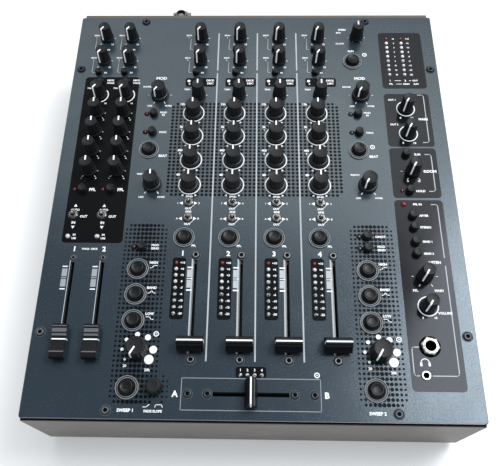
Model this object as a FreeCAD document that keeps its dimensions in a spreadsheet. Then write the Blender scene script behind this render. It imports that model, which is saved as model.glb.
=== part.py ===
import FreeCAD, Part
import os
import re
import Sketcher
from FreeCAD import Placement, Rotation, Vector

# A four-channel analogue mixing desk: a folded tray closed by a punched top panel, with every
# knob, button, toggle and fader standing on a board that hangs below the panel.
# Millimetres. The origin is on the floor below the middle of the whole object, X to the
# operator's right, Y to the back and Z up.
doc = FreeCAD.newDocument("mixing_desk")
dims = doc.addObject("Spreadsheet::Sheet", "dims")

# Positions on the panel are measured from its centre.
DIMENSIONS = {
    # case
    "panel_width": 320, "panel_depth": 362, "panel_thick": 2, "panel_corner": 2, "panel_edge": 0.4,
    "panel_top": 86, "panel_y": -10, "sheet_thick": 1.5, "tray_gap": 0.5, "lip_width": 10,
    "foot_height": 8, "foot_radius": 9, "foot_x": 134, "foot_y": 155,
    "corner_screw_x": 100.2, "corner_screw_y": 175.2, "side_screw_x": 153.7, "side_screw_y": 120.3,
    # channel strips
    "channel_pitch": 34.8, "aux_x": -48, "aux_upper_y": 156, "aux_lower_y": 130, "level_y": 92.3,
    "eq_x": -51.5, "eq_y": 73.5, "eq_pitch": 23.4, "select_upper_y": 142.5, "select_lower_y": 116.5,
    "source_y": 106, "toggle_upper_y": -12.6, "toggle_lower_y": -26.3, "cue_x": -53.4, "cue_y": -43.8,
    "fader_x": -43.6, "fader_y": -98.9, "fader_travel": 60, "fader_screw_half": 40.4,
    "meter_x": -57.8, "meter_y": -64.8, "meter_pitch": 5.05,
    # microphone strips
    "mic_pitch": 22.8, "mic_x": -134.1, "mic_eq_y": 73.1, "mic_eq_pitch": 19.1,
    "mic_select_x": -137.6, "mic_cue_x": -137.4, "mic_cue_y": -1.7, "mic_lamp_x": -143.9,
    "mic_lamp_y": -43.3, "mic_toggle_x": -142.2, "mic_toggle_y": -24.5, "mic_fader_x": -137.2,
    "mic_screw_half": 37.4,
    # filter strips
    "filter_pitch": 173, "filter_knob_x": -81.7, "filter_big_x": -86.9, "filter_small_x": -85.4,
    "filter_lamp_x": -91.4, "depth_y": 92.3, "sweep_y": 72.4, "sync_y": 53.8, "tap_y": 36.2,
    "resonance_y": 3.5, "route_y": -52, "direct_y": -42, "mode_y": -70.4, "mode_pitch": 20.3,
    "frequency_y": -132.4, "filter_on_y": -159.5, "curve_x": -67.8, "curve_y": -159.4,
    "tempo_y": 156.7, "start_y": 129.1,
    # master column
    "master_x": 128.3, "mix_upper_y": 78.4, "mix_lower_y": 53.2, "booth_y": 16.7, "monitor_y": -74.4,
    "phones_y": -97.8, "column_x": 124.4, "mono_y": 32.8, "mute_y": -1.3, "post_y": -23.6,
    "split_y": -33.7, "listen_upper_y": -45.9, "listen_lower_y": -55.9, "column_lamp_x": 118.2,
    "active_y": -13.6, "master_meter_x": 117.8, "master_meter_gap": 13.1, "master_meter_y": 155.2,
    "jack_x": 126.2, "jack_y": -128, "mini_x": 121.4, "mini_y": -148.6,
    # crossfader
    "cross_x": -0.4, "cross_y": -163.3, "cross_travel": 45, "cross_plate_width": 96.4,
    "cross_plate_depth": 21.4, "cross_plate_gap": 0.4, "cross_screw_inner": 30.3,
    "cross_screw_outer": 44, "cross_lamp_x": -8, "cross_lamp_y": -149.8, "cross_lamp_pitch": 5,
    # holes in the panel
    "pot_hole": 3.8, "toggle_hole": 2.6, "lamp_hole": 1.6, "large_lamp_hole": 2.6, "screw_hole": 1.6,
    "collar_hole": 7.3, "slot_width": 3, "slot_spare": 13, "mic_slot_spare": 7.5, "jack_hole": 4.6,
    "mini_hole": 3.1,
    # knobs, above the panel
    "knob_gap": 0.8, "shaft_radius": 3, "shaft_top": 6, "bore_top": 6.1, "pointer_width": 1,
    "slim_height": 16, "slim_base": 6, "slim_top": 4.8, "skirt_height": 14, "skirt_base": 7.6,
    "skirt_body": 6.4, "skirt_top": 5.9, "wide_height": 11.5, "wide_base": 7.8, "wide_top": 7.1,
    "curve_height": 8.5, "curve_base": 5.9,
    # buttons
    "small_radius": 2.9, "small_height": 4.2, "lamp_button_radius": 3.5, "lamp_button_height": 5,
    "large_radius": 6, "large_height": 5, "button_gap": 0.3, "collar_radius": 8.3, "collar_height": 1.6,
    "plunger_radius": 1.5, "plunger_low": -10.5,
    # lamps and screws
    "lamp_radius": 1.5, "lamp_height": 1.3, "large_lamp_radius": 2.4, "large_lamp_height": 1.8,
    "screw_radius": 1.4, "screw_head": 3.3, "screw_rise": 1.5, "screw_length": 6, "screw_key": 2,
    # toggles
    "lever_ball": 1.75, "lever_pin_half": 1.95, "lever_root": 0.9, "lever_tip": 1.5, "lever_height": 4.2, "pivot_depth": 0.5,
    "bushing_radius": 2.5, "bushing_bore": 2.1, "bushing_rise": 2.1, "toggle_nut": 7, "nut_thick": 1.5,
    # fader levers and caps
    "lever_thick": 1.2, "lever_width": 6, "cap_low": 4, "cap_high": 14.2, "cap_length_low": 17.8,
    "cap_length_high": 19.8, "cap_depth_low": 11.2, "cap_depth_high": 3.8, "cap_edge": 0.5,
    "long_cap_width": 11, "long_cap_half": 12.5, "long_cap_ridge": 10.6, "long_cap_saddle": 8.2,
    # board and the bodies on it
    "board_depth": 14, "board_thick": 1.6, "board_width": 296, "board_length": 336, "pot_width": 9.8,
    "pot_length": 11, "pot_height": 6.6, "pot_bushing": 3.5, "pot_bore": 3.06, "switch_width": 7,
    "switch_height": 6, "switch_bore": 1.9, "body_floor": 1.5, "fader_body": 12, "fader_spare": 30,
    "fader_height": 11, "toggle_body": 8, "pillar_radius": 3,
    # sockets
    "plug_radius": 3.25, "jack_bushing": 4.5, "jack_body": 8, "jack_length": 33, "jack_rise": 3.2,
    "washer_radius": 7.7, "washer_thick": 0.9, "jack_nut": 12, "mini_plug": 1.8, "mini_bushing": 3,
    "mini_body": 4.5, "phono_barrel": 4.15, "phono_flange": 5.6, "phono_length": 10, "phono_neck": 4,
    "phono_pitch": 15, "phono_x": -48, "rear_upper_z": 57, "rear_lower_z": 37, "output_x": 79,
    "output_pitch": 18, "xlr_x": -128, "xlr_pitch": 32, "xlr_z": 46, "xlr_width": 26, "xlr_height": 31,
    "xlr_radius": 10.5, "inlet_x": 134, "inlet_z": 40, "inlet_width": 28, "inlet_height": 58,
    "inlet_depth": 22, "plug_width": 24.5, "plug_height": 17, "plug_depth": 16, "plug_z": -13,
    "rocker_width": 13, "rocker_height": 19, "rocker_depth": 8, "rocker_z": 14, "rocker_gap": 1,
    "lamp_x": -69.5, "lamp_tab_width": 17, "lamp_tab_depth": 18.5, "lamp_flange_height": 12, "lamp_tab_z": 72.5, "lamp_out": 10,
    # power supply
    "core_radius": 36, "core_height": 34, "core_bore": 11, "core_x": 60, "core_y": -40,
    "supply_x": -70, "supply_y": -40, "supply_width": 110, "supply_length": 70, "supply_rise": 10,
}
for row, (alias, number) in enumerate(DIMENSIONS.items(), start=1):
    dims.set(f"A{row}", alias)
    dims.set(f"B{row}", str(number))
    dims.setAlias(f"B{row}", alias)
doc.recompute()

CHANNELS = range(4)
MICS = range(2)
BANDS = range(4)
FILTERS = range(2)
MODES = range(3)
METER_STEPS = range(9)
POINTS_UP = 0
POINTS_TO_MINIMUM = 150
UPRIGHT = Rotation()
FACING_BACK = Rotation(Vector(1, 0, 0), -90)
SWITCHED_OFF = Rotation(Vector(1, 0, 0), -98)


# Helpers: expressions name sheet cells by their aliases alone.

def cells(expression):
    return re.sub(r"[a-z][a-z_]*", r"dims.\g<0>", expression)


def value(expression):
    number = dims.evalExpression(cells(expression))
    return float(getattr(number, "Value", number))


def bind(target, bindings):
    for prop, expression in bindings.items():
        target.setExpression(prop, cells(expression))


def add_sketch(body, name, role="XY_Plane", lift="0"):
    plane = next(feature for feature in body.Origin.OriginFeatures if feature.Role == role)
    sketch = body.newObject("Sketcher::SketchObject", name)
    sketch.AttachmentSupport = (plane, [""])
    sketch.MapMode = "FlatFace"
    bind(sketch, {"AttachmentOffset.Base.z": lift})
    return sketch


def fix_point(sketch, geometry, point, x, y):
    for kind, expression in (("DistanceX", x), ("DistanceY", y)):
        constraint = Sketcher.Constraint(kind, -1, 1, geometry, point, value(expression))
        index = sketch.addConstraint(constraint)
        sketch.setExpression(f"Constraints[{index}]", cells(expression))


def add_polygon(sketch, corners):
    points = [Vector(value(x), value(y), 0) for x, y in corners]
    first = sketch.GeometryCount
    for start, end in zip(points, points[1:] + points[:1]):
        sketch.addGeometry(Part.LineSegment(start, end), False)
    for step, (x, y) in enumerate(corners):
        after = first + (step + 1) % len(corners)
        sketch.addConstraint(Sketcher.Constraint("Coincident", first + step, 2, after, 1))
        fix_point(sketch, first + step, 1, x, y)


def add_rectangle(sketch, x, y, width, depth):
    left, right = f"{x} - ({width}) / 2", f"{x} + ({width}) / 2"
    near, far = f"{y} - ({depth}) / 2", f"{y} + ({depth}) / 2"
    add_polygon(sketch, [(left, near), (right, near), (right, far), (left, far)])


def add_hexagon(sketch, across):
    corner, half, flat = f"({across}) * 0.57735", f"({across}) * 0.288675", f"({across}) / 2"
    add_polygon(sketch, [(corner, "0"), (half, flat), (f"-{half}", flat),
                         (f"-{corner}", "0"), (f"-{half}", f"-{flat}"), (half, f"-{flat}")])


def add_circle(sketch, x, y, radius):
    centre = Vector(value(x), value(y), 0)
    index = sketch.addGeometry(Part.Circle(centre, Vector(0, 0, 1), value(radius)), False)
    size = sketch.addConstraint(Sketcher.Constraint("Radius", index, value(radius)))
    sketch.setExpression(f"Constraints[{size}]", cells(radius))
    fix_point(sketch, index, 3, x, y)


def new_body(label):
    body = doc.addObject("PartDesign::Body", label)
    body.Label = label
    return body


def pad(body, sketch, length, symmetric=False):
    feature = body.newObject("PartDesign::Pad", f"{sketch.Name}_pad")
    feature.Profile = sketch
    feature.Midplane = symmetric
    bind(feature, {"Length": length})
    doc.recompute()
    return feature


def punch(body, sketch):
    """Cut a sketch right through the sheet that stands on its plane."""
    feature = body.newObject("PartDesign::Pocket", f"{sketch.Name}_punch")
    feature.Profile = sketch
    feature.Type = "ThroughAll"
    feature.Reversed = True
    doc.recompute()
    return feature


def recess(body, sketch, depth):
    """Cut a sketch down into the material below its plane."""
    feature = body.newObject("PartDesign::Pocket", f"{sketch.Name}_recess")
    feature.Profile = sketch
    bind(feature, {"Length": depth})
    doc.recompute()
    return feature


def repeat_across(body, feature, sketch, pitch, count):
    pattern = body.newObject("PartDesign::LinearPattern", f"{feature.Name}_row")
    pattern.Originals = [feature]
    pattern.Direction = (sketch, ["H_Axis"])
    pattern.Occurrences = count
    bind(pattern, {"Length": f"{count - 1} * {pitch}"})
    body.Tip = pattern
    doc.recompute()


def turned(label, profile):
    """Body of revolution about Z from (radius, height) corners."""
    body = new_body(label)
    sketch = add_sketch(body, f"{label}_profile", "XZ_Plane")
    add_polygon(sketch, profile)
    feature = body.newObject("PartDesign::Revolution", f"{label}_turn")
    feature.Profile = sketch
    feature.ReferenceAxis = (sketch, ["V_Axis"])
    feature.Angle = 360
    doc.recompute()
    return body


def block(name, width, depth, height, x="0", y="0", z="0"):
    """Box centred on x, y with its underside at z."""
    box = doc.addObject("Part::Box", name)
    bind(box, {"Length": width, "Width": depth, "Height": height,
               "Placement.Base.x": f"{x} - ({width}) / 2",
               "Placement.Base.y": f"{y} - ({depth}) / 2",
               "Placement.Base.z": z})
    return box


def rod(name, radius, height, x="0", y="0", z="0"):
    cylinder = doc.addObject("Part::Cylinder", name)
    bind(cylinder, {"Radius": radius, "Height": height, "Placement.Base.x": x,
                    "Placement.Base.y": y, "Placement.Base.z": z})
    return cylinder


def group(label, members):
    compound = doc.addObject("Part::Compound", label)
    compound.Label = label
    compound.Links = members
    return compound


def place(label, members, x, y, z="panel_top", turn=UPRIGHT):
    """Copy of some pieces with their own origin moved to a spot on the panel."""
    compound = group(label, members)
    compound.Placement = Placement(Vector(), turn)
    bind(compound, {"Placement.Base.x": x, "Placement.Base.y": f"panel_y + {y}", "Placement.Base.z": z})
    return compound


def place_all(name, members, spots, turn=UPRIGHT):
    return [place(f"{name}_{number}", members, x, y, turn=turn)
            for number, (x, y) in enumerate(spots, start=1)]


def fused(name, members):
    fusion = doc.addObject("Part::MultiFuse", name)
    fusion.Shapes = members
    return fusion


def cut(name, base, tool):
    difference = doc.addObject("Part::Cut", name)
    difference.Base = base
    difference.Tool = tool
    return difference


def about_z(degrees):
    return Rotation(Vector(0, 0, 1), degrees)


sub_parts = []


def keep(*pieces):
    sub_parts.extend(pieces)


# Where each control stands on the panel.

def in_channel(x, y):
    return [(f"{x} + {channel} * channel_pitch", y) for channel in CHANNELS]


def in_mic(x, y):
    return [(f"{x} + {mic} * mic_pitch", y) for mic in MICS]


def in_filter(x, y):
    return [(f"{x} + {number} * filter_pitch", y) for number in FILTERS]


aux_spots = [spot for y in ("aux_upper_y", "aux_lower_y")
             for spot in in_channel("aux_x", y) + in_mic("mic_x", y)]
eq_spots = [spot for band in BANDS for spot in in_channel("eq_x", f"eq_y - {band} * eq_pitch")]
mic_eq_spots = [spot for band in BANDS
                for spot in in_mic("mic_x", f"mic_eq_y - {band} * mic_eq_pitch")]
select_spots = [spot for y in ("select_upper_y", "select_lower_y")
                for spot in in_channel("eq_x", y) + in_mic("mic_select_x", y)]
source_spots = in_channel("aux_x", "source_y") + in_mic("mic_x", "source_y")
small_button_spots = select_spots + source_spots
lamp_button_spots = (in_mic("mic_cue_x", "mic_cue_y") + in_filter("filter_small_x", "sweep_y")
                     + in_filter("filter_small_x", "sync_y") + in_filter("filter_small_x", "route_y")
                     + [("filter_small_x + filter_pitch", "direct_y")]
                     + [("column_x", y) for y in ("mono_y", "mute_y", "post_y", "split_y",
                                                  "listen_upper_y", "listen_lower_y")])
mode_spots = [spot for mode in MODES
              for spot in in_filter("filter_big_x", f"mode_y - {mode} * mode_pitch")]
filter_button_spots = mode_spots + in_filter("filter_big_x", "filter_on_y")
cue_spots = in_channel("cue_x", "cue_y")
start_spot = ("filter_big_x + filter_pitch", "start_y")
tap_spots = in_filter("filter_big_x", "tap_y") + [start_spot]
collar_spots = filter_button_spots + cue_spots + tap_spots
channel_toggle_spots = in_channel("eq_x", "toggle_upper_y") + in_channel("eq_x", "toggle_lower_y")
mic_toggle_spots = in_mic("mic_toggle_x", "mic_toggle_y")
channel_meter_spots = [spot for step in METER_STEPS
                       for spot in in_channel("meter_x", f"meter_y - {step} * meter_pitch")]
master_meter_spots = [(f"master_meter_x + {side} * master_meter_gap",
                       f"master_meter_y - {step} * meter_pitch")
                      for side in range(2) for step in METER_STEPS]
cross_lamp_spots = [(f"cross_lamp_x + {step} * cross_lamp_pitch", "cross_lamp_y") for step in range(4)]
single_lamp_spots = (in_mic("mic_lamp_x", "mic_cue_y") + in_filter("filter_lamp_x", "sweep_y")
                     + in_filter("filter_lamp_x", "sync_y") + in_filter("filter_lamp_x", "route_y")
                     + [("filter_lamp_x + filter_pitch", "direct_y"), ("column_lamp_x", "mute_y")])
lamp_spots = channel_meter_spots + master_meter_spots + cross_lamp_spots + single_lamp_spots
large_lamp_spots = in_mic("mic_lamp_x", "mic_lamp_y") + [("column_lamp_x", "active_y")]
lip_screw_spots = [(f"{side}corner_screw_x", "-corner_screw_y") for side in ("", "-")]
lip_screw_spots += [(f"{side}side_screw_x", f"{end}side_screw_y")
                    for side in ("", "-") for end in ("", "-")]
back_screw_spots = [(f"{side}corner_screw_x", "corner_screw_y") for side in ("", "-")]
fader_spots = in_channel("fader_x", "fader_y")
mic_fader_spots = in_mic("mic_fader_x", "fader_y")
fader_screw_spots = [(x, f"{y} {end} fader_screw_half") for x, y in fader_spots for end in "+-"]
fader_screw_spots += [(x, f"{y} {end} mic_screw_half") for x, y in mic_fader_spots for end in "+-"]
cross_screw_spots = [(f"cross_x {side} {reach}", "cross_y")
                     for reach in ("cross_screw_inner", "cross_screw_outer") for side in "+-"]


# Top panel: one sheet, with each strip's holes drawn once and repeated across.
top_panel = new_body("top_panel")
outline = add_sketch(top_panel, "panel_outline")
add_rectangle(outline, "0", "0", "panel_width", "panel_depth")
sheet = pad(top_panel, outline, "panel_thick")
corners = top_panel.newObject("PartDesign::Fillet", "panel_corners")
corners.Base = (sheet, [f"Edge{number}" for number, edge in enumerate(sheet.Shape.Edges, start=1)
                        if edge.BoundBox.ZLength > 1])
bind(corners, {"Radius": "panel_corner"})
doc.recompute()
edges = top_panel.newObject("PartDesign::Chamfer", "panel_edges")
edges.Base = (corners, [f"Edge{number}" for number, edge in enumerate(corners.Shape.Edges, start=1)
                        if edge.BoundBox.ZMin > value("panel_thick") - 0.01])
bind(edges, {"Size": "panel_edge"})
doc.recompute()


def add_fader_openings(sketch, x, spare, screw_half):
    add_rectangle(sketch, x, "fader_y", "slot_width", f"fader_travel + {spare}")
    for end in "+-":
        add_circle(sketch, x, f"fader_y {end} {screw_half}", "screw_hole")


channel_holes = add_sketch(top_panel, "channel_holes")
for y in ("aux_upper_y", "aux_lower_y", "level_y"):
    add_circle(channel_holes, "aux_x", y, "pot_hole")
for band in BANDS:
    add_circle(channel_holes, "eq_x", f"eq_y - {band} * eq_pitch", "pot_hole")
for x, y in (("eq_x", "select_upper_y"), ("eq_x", "select_lower_y"), ("aux_x", "source_y")):
    add_circle(channel_holes, x, y, "small_radius + button_gap")
for y in ("toggle_upper_y", "toggle_lower_y"):
    add_circle(channel_holes, "eq_x", y, "toggle_hole")
for step in METER_STEPS:
    add_circle(channel_holes, "meter_x", f"meter_y - {step} * meter_pitch", "lamp_hole")
add_circle(channel_holes, "cue_x", "cue_y", "collar_hole")
add_fader_openings(channel_holes, "fader_x", "slot_spare", "fader_screw_half")
repeat_across(top_panel, punch(top_panel, channel_holes), channel_holes, "channel_pitch", len(CHANNELS))

mic_holes = add_sketch(top_panel, "mic_holes")
for y in ("aux_upper_y", "aux_lower_y", "level_y"):
    add_circle(mic_holes, "mic_x", y, "pot_hole")
for band in BANDS:
    add_circle(mic_holes, "mic_x", f"mic_eq_y - {band} * mic_eq_pitch", "pot_hole")
for x, y in (("mic_select_x", "select_upper_y"), ("mic_select_x", "select_lower_y"), ("mic_x", "source_y")):
    add_circle(mic_holes, x, y, "small_radius + button_gap")
add_circle(mic_holes, "mic_cue_x", "mic_cue_y", "lamp_button_radius + button_gap")
add_circle(mic_holes, "mic_lamp_x", "mic_cue_y", "lamp_hole")
add_circle(mic_holes, "mic_toggle_x", "mic_toggle_y", "toggle_hole")
add_circle(mic_holes, "mic_lamp_x", "mic_lamp_y", "large_lamp_hole")
add_fader_openings(mic_holes, "mic_fader_x", "mic_slot_spare", "mic_screw_half")
repeat_across(top_panel, punch(top_panel, mic_holes), mic_holes, "mic_pitch", len(MICS))

filter_holes = add_sketch(top_panel, "filter_holes")
for y in ("depth_y", "resonance_y", "frequency_y"):
    add_circle(filter_holes, "filter_knob_x", y, "pot_hole")
for y in ("sweep_y", "sync_y", "route_y"):
    add_circle(filter_holes, "filter_small_x", y, "lamp_button_radius + button_gap")
    add_circle(filter_holes, "filter_lamp_x", y, "lamp_hole")
for y in ["tap_y", "filter_on_y"] + [f"mode_y - {mode} * mode_pitch" for mode in MODES]:
    add_circle(filter_holes, "filter_big_x", y, "collar_hole")
repeat_across(top_panel, punch(top_panel, filter_holes), filter_holes, "filter_pitch", len(FILTERS))

other_holes = add_sketch(top_panel, "other_holes")
for y in ("mix_upper_y", "mix_lower_y", "booth_y", "monitor_y", "phones_y"):
    add_circle(other_holes, "master_x", y, "pot_hole")
for y in ("mono_y", "mute_y", "post_y", "split_y", "listen_upper_y", "listen_lower_y"):
    add_circle(other_holes, "column_x", y, "lamp_button_radius + button_gap")
for x, y in master_meter_spots + cross_lamp_spots + [("column_lamp_x", "mute_y")]:
    add_circle(other_holes, x, y, "lamp_hole")
for x, y in lip_screw_spots + back_screw_spots:
    add_circle(other_holes, x, y, "screw_hole")
add_circle(other_holes, "column_lamp_x", "active_y", "large_lamp_hole")
add_circle(other_holes, "filter_knob_x + filter_pitch", "tempo_y", "pot_hole")
add_circle(other_holes, *start_spot, "collar_hole")
add_circle(other_holes, "filter_small_x + filter_pitch", "direct_y", "lamp_button_radius + button_gap")
add_circle(other_holes, "filter_lamp_x + filter_pitch", "direct_y", "lamp_hole")
add_circle(other_holes, "curve_x", "curve_y", "pot_hole")
add_circle(other_holes, "jack_x", "jack_y", "jack_hole")
add_circle(other_holes, "mini_x", "mini_y", "mini_hole")
add_rectangle(other_holes, "cross_x", "cross_y", "cross_plate_width + 2 * cross_plate_gap",
              "cross_plate_depth + 2 * cross_plate_gap")
punch(top_panel, other_holes)
bind(top_panel, {"Placement.Base.y": "panel_y", "Placement.Base.z": "panel_top - panel_thick"})
keep(top_panel)

# Crossfader plate: drops into the panel's opening, flush with its face.
crossfader_plate = new_body("crossfader_plate")
plate_outline = add_sketch(crossfader_plate, "plate_outline")
add_rectangle(plate_outline, "0", "0", "cross_plate_width", "cross_plate_depth")
pad(crossfader_plate, plate_outline, "panel_thick")
plate_holes = add_sketch(crossfader_plate, "plate_holes")
add_rectangle(plate_holes, "0", "0", "cross_travel + lever_width + 2", "slot_width")
for reach in ("cross_screw_inner", "cross_screw_outer"):
    for side in ("", "-"):
        add_circle(plate_holes, f"{side}{reach}", "0", "screw_hole")
punch(crossfader_plate, plate_holes)
bind(crossfader_plate, {"Placement.Base.x": "cross_x", "Placement.Base.y": "panel_y + cross_y",
                        "Placement.Base.z": "panel_top - panel_thick"})
keep(crossfader_plate)

# Base tray: floor, three walls and a lip that takes the panel screws. The back is left open.
base_tray = new_body("base_tray")
side, back = "(panel_width / 2 - tray_gap)", "(panel_depth / 2 - tray_gap)"
tray_height = "panel_top - panel_thick - foot_height"


def add_channel_section(sketch, thickness, end=back):
    """U-shaped outline along the left, front and right edges of the tray, up to the given end."""
    inner, front = f"({side} - {thickness})", f"({back} - {thickness})"
    add_polygon(sketch, [(f"-{side}", end), (f"-{side}", f"-{back}"), (side, f"-{back}"), (side, end),
                         (inner, end), (inner, f"-{front}"), (f"-{inner}", f"-{front}"),
                         (f"-{inner}", end)])


tray_floor = add_sketch(base_tray, "tray_floor")
add_rectangle(tray_floor, "0", "0", f"2 * {side}", f"2 * {back}")
pad(base_tray, tray_floor, "sheet_thick")
tray_walls = add_sketch(base_tray, "tray_walls")
add_channel_section(tray_walls, "sheet_thick")
pad(base_tray, tray_walls, tray_height)
tray_lip = add_sketch(base_tray, "tray_lip", lift=f"{tray_height} - sheet_thick")
add_channel_section(tray_lip, "lip_width", f"({back} - 2 * sheet_thick)")
pad(base_tray, tray_lip, "sheet_thick")
tray_threads = add_sketch(base_tray, "tray_threads", lift=tray_height)
for x, y in lip_screw_spots:
    add_circle(tray_threads, x, y, "screw_hole")
recess(base_tray, tray_threads, "2 * sheet_thick")
bind(base_tray, {"Placement.Base.y": "panel_y", "Placement.Base.z": "foot_height"})
keep(base_tray)

# Rear panel: stands on the floor between the side walls, with a lip for two panel screws. Its own
# plane is the outer face.
rear_panel = new_body("rear_panel")
rear_width = f"2 * {side} - 2 * sheet_thick - 0.2"
rear_low, rear_high = "foot_height + sheet_thick", "panel_top - panel_thick"
rear_sheet = add_sketch(rear_panel, "rear_sheet", "XZ_Plane")
add_rectangle(rear_sheet, "0", f"({rear_high} + {rear_low}) / 2", rear_width, f"{rear_high} - ({rear_low})")
pad(rear_panel, rear_sheet, "sheet_thick")
rear_lip = add_sketch(rear_panel, "rear_lip", lift="panel_top - panel_thick - sheet_thick")
add_rectangle(rear_lip, "0", "-lip_width / 2", f"{rear_width} - 2 * lip_width - 1", "lip_width")
pad(rear_panel, rear_lip, "sheet_thick")
rear_threads = add_sketch(rear_panel, "rear_threads", lift="panel_top - panel_thick")
for x, y in back_screw_spots:
    add_circle(rear_threads, x, f"{y} - {back}", "screw_hole")
recess(rear_panel, rear_threads, "2 * sheet_thick")
phono_spots = [(f"phono_x + {column} * phono_pitch", z)
               for column in range(8) for z in ("rear_lower_z", "rear_upper_z")]
output_spots = [(f"output_x + {column} * output_pitch", z)
                for column in range(2) for z in ("rear_lower_z", "rear_upper_z")]
xlr_spots = [(f"xlr_x + {mic} * xlr_pitch", "xlr_z") for mic in MICS]
rear_holes = add_sketch(rear_panel, "rear_holes", "XZ_Plane")
for x, z in phono_spots:
    add_circle(rear_holes, x, z, "phono_neck + 0.1")
for x, z in output_spots:
    add_circle(rear_holes, x, z, "jack_hole")
for x, z in xlr_spots:
    add_circle(rear_holes, x, z, "xlr_radius + 0.1")
add_rectangle(rear_holes, "inlet_x", "inlet_z", "inlet_width + 0.4", "inlet_height + 0.4")
punch(rear_panel, rear_holes)
bind(rear_panel, {"Placement.Base.y": f"panel_y + {back}"})
keep(rear_panel)

# Knobs: turned caps with a raised pointer, on the shaft of their potentiometer. The shaft runs
# in the fixed bushing below the panel.


def pointed_knob(label, profile, height, reach):
    bore = [("0", "bore_top"), ("shaft_radius + 0.02", "bore_top"), ("shaft_radius + 0.02", "knob_gap")]
    body = turned(label, bore + profile + [("0", height)])
    pointer = add_sketch(body, f"{label}_pointer", lift=f"{height} - 0.6")
    add_rectangle(pointer, "0", f"(1 + {reach}) / 2", "pointer_width", f"{reach} - 1")
    pad(body, pointer, "0.85")
    return body


slim_knob = pointed_knob("slim_knob", [
    ("slim_base", "knob_gap"), ("slim_base", "knob_gap + 1.2"), ("slim_base - 0.3", "knob_gap + 1.5"),
    ("slim_top", "slim_height - 0.8"), ("slim_top - 0.6", "slim_height")], "slim_height", "slim_top")
skirted_knob = pointed_knob("skirted_knob", [
    ("skirt_base", "knob_gap"), ("skirt_base", "knob_gap + 1.2"), ("skirt_base - 0.5", "knob_gap + 1.9"),
    ("skirt_body", "knob_gap + 3.4"), ("skirt_top", "skirt_height - 0.8"),
    ("skirt_top - 0.6", "skirt_height")], "skirt_height", "skirt_top")
wide_knob = pointed_knob("wide_knob", [
    ("wide_base", "knob_gap"), ("wide_base", "knob_gap + 1"), ("wide_base - 0.3", "knob_gap + 1.3"),
    ("wide_top", "wide_height - 0.8"), ("wide_top - 0.6", "wide_height")], "wide_height", "wide_top")
curve_knob_cap = pointed_knob("curve_knob_cap", [
    ("curve_base", "knob_gap"), ("curve_base", "curve_height - 0.5"),
    ("curve_base - 0.5", "curve_height")], "curve_height", "curve_base")
pot_shaft = rod("pot_shaft", "shaft_radius", "shaft_top + board_depth - body_floor - 0.5",
                z="body_floor + 0.5 - board_depth")

FIRST_FILTER, SECOND_FILTER = "filter_knob_x", "filter_knob_x + filter_pitch"
single_knobs = {
    "filter_1_depth_knob": (skirted_knob, FIRST_FILTER, "depth_y", POINTS_TO_MINIMUM),
    "filter_2_depth_knob": (skirted_knob, SECOND_FILTER, "depth_y", POINTS_TO_MINIMUM),
    "filter_1_resonance_knob": (skirted_knob, FIRST_FILTER, "resonance_y", POINTS_UP),
    "filter_2_resonance_knob": (skirted_knob, SECOND_FILTER, "resonance_y", POINTS_TO_MINIMUM),
    "filter_1_frequency_knob": (wide_knob, FIRST_FILTER, "frequency_y", POINTS_TO_MINIMUM),
    "filter_2_frequency_knob": (wide_knob, SECOND_FILTER, "frequency_y", POINTS_TO_MINIMUM),
    "tempo_knob": (slim_knob, SECOND_FILTER, "tempo_y", POINTS_UP),
    "curve_knob": (curve_knob_cap, "curve_x", "curve_y", POINTS_UP),
    "mix_1_knob": (slim_knob, "master_x", "mix_upper_y", POINTS_TO_MINIMUM),
    "mix_2_knob": (slim_knob, "master_x", "mix_lower_y", POINTS_TO_MINIMUM),
    "booth_knob": (slim_knob, "master_x", "booth_y", POINTS_TO_MINIMUM),
    "monitor_knob": (slim_knob, "master_x", "monitor_y", POINTS_TO_MINIMUM),
    "phones_knob": (slim_knob, "master_x", "phones_y", POINTS_TO_MINIMUM),
}
for number, (x, y) in enumerate(in_channel("aux_x", "level_y"), start=1):
    single_knobs[f"channel_{number}_level_knob"] = (slim_knob, x, y, POINTS_UP)
for number, (x, y) in enumerate(in_mic("mic_x", "level_y"), start=1):
    single_knobs[f"mic_{number}_level_knob"] = (slim_knob, x, y, POINTS_TO_MINIMUM)
for label, (cap, x, y, angle) in single_knobs.items():
    keep(place(label, [cap, pot_shaft], x, y, turn=about_z(angle)))
keep(group("aux_knobs", place_all("aux_knob", [slim_knob, pot_shaft], aux_spots,
                                  about_z(POINTS_TO_MINIMUM))))
keep(group("eq_knobs", place_all("channel_eq", [skirted_knob, pot_shaft], eq_spots)
           + place_all("mic_eq", [slim_knob, pot_shaft], mic_eq_spots)))
knob_spots = aux_spots + eq_spots + mic_eq_spots + [(x, y) for _, x, y, _ in single_knobs.values()]

# Push buttons: a cap and its plunger in one piece.


def push_button(label, radius, height, dome):
    return turned(label, [
        ("0", "plunger_low"), ("plunger_radius", "plunger_low"), ("plunger_radius", "-1.5"),
        (radius, "-1.5"), (radius, f"{height} - {dome}"), (f"{radius} * 0.8", f"{height} - {dome} * 0.35"),
        (f"{radius} * 0.4", f"{height} - 0.05"), ("0", height)])


small_button = push_button("small_button", "small_radius", "small_height", "0.5")
lamp_button = push_button("lamp_button", "lamp_button_radius", "lamp_button_height", "0.8")
large_button = push_button("large_button", "large_radius", "large_height", "1.8")
keep(group("select_buttons", place_all("select", [small_button], small_button_spots)),
     group("lamp_buttons", place_all("lamp_switch", [lamp_button], lamp_button_spots)),
     group("filter_buttons", place_all("filter_switch", [large_button], filter_button_spots)),
     group("channel_cue_buttons", place_all("cue_switch", [large_button], cue_spots)),
     group("tap_buttons", place_all("tap_switch", [large_button], tap_spots)))

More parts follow.
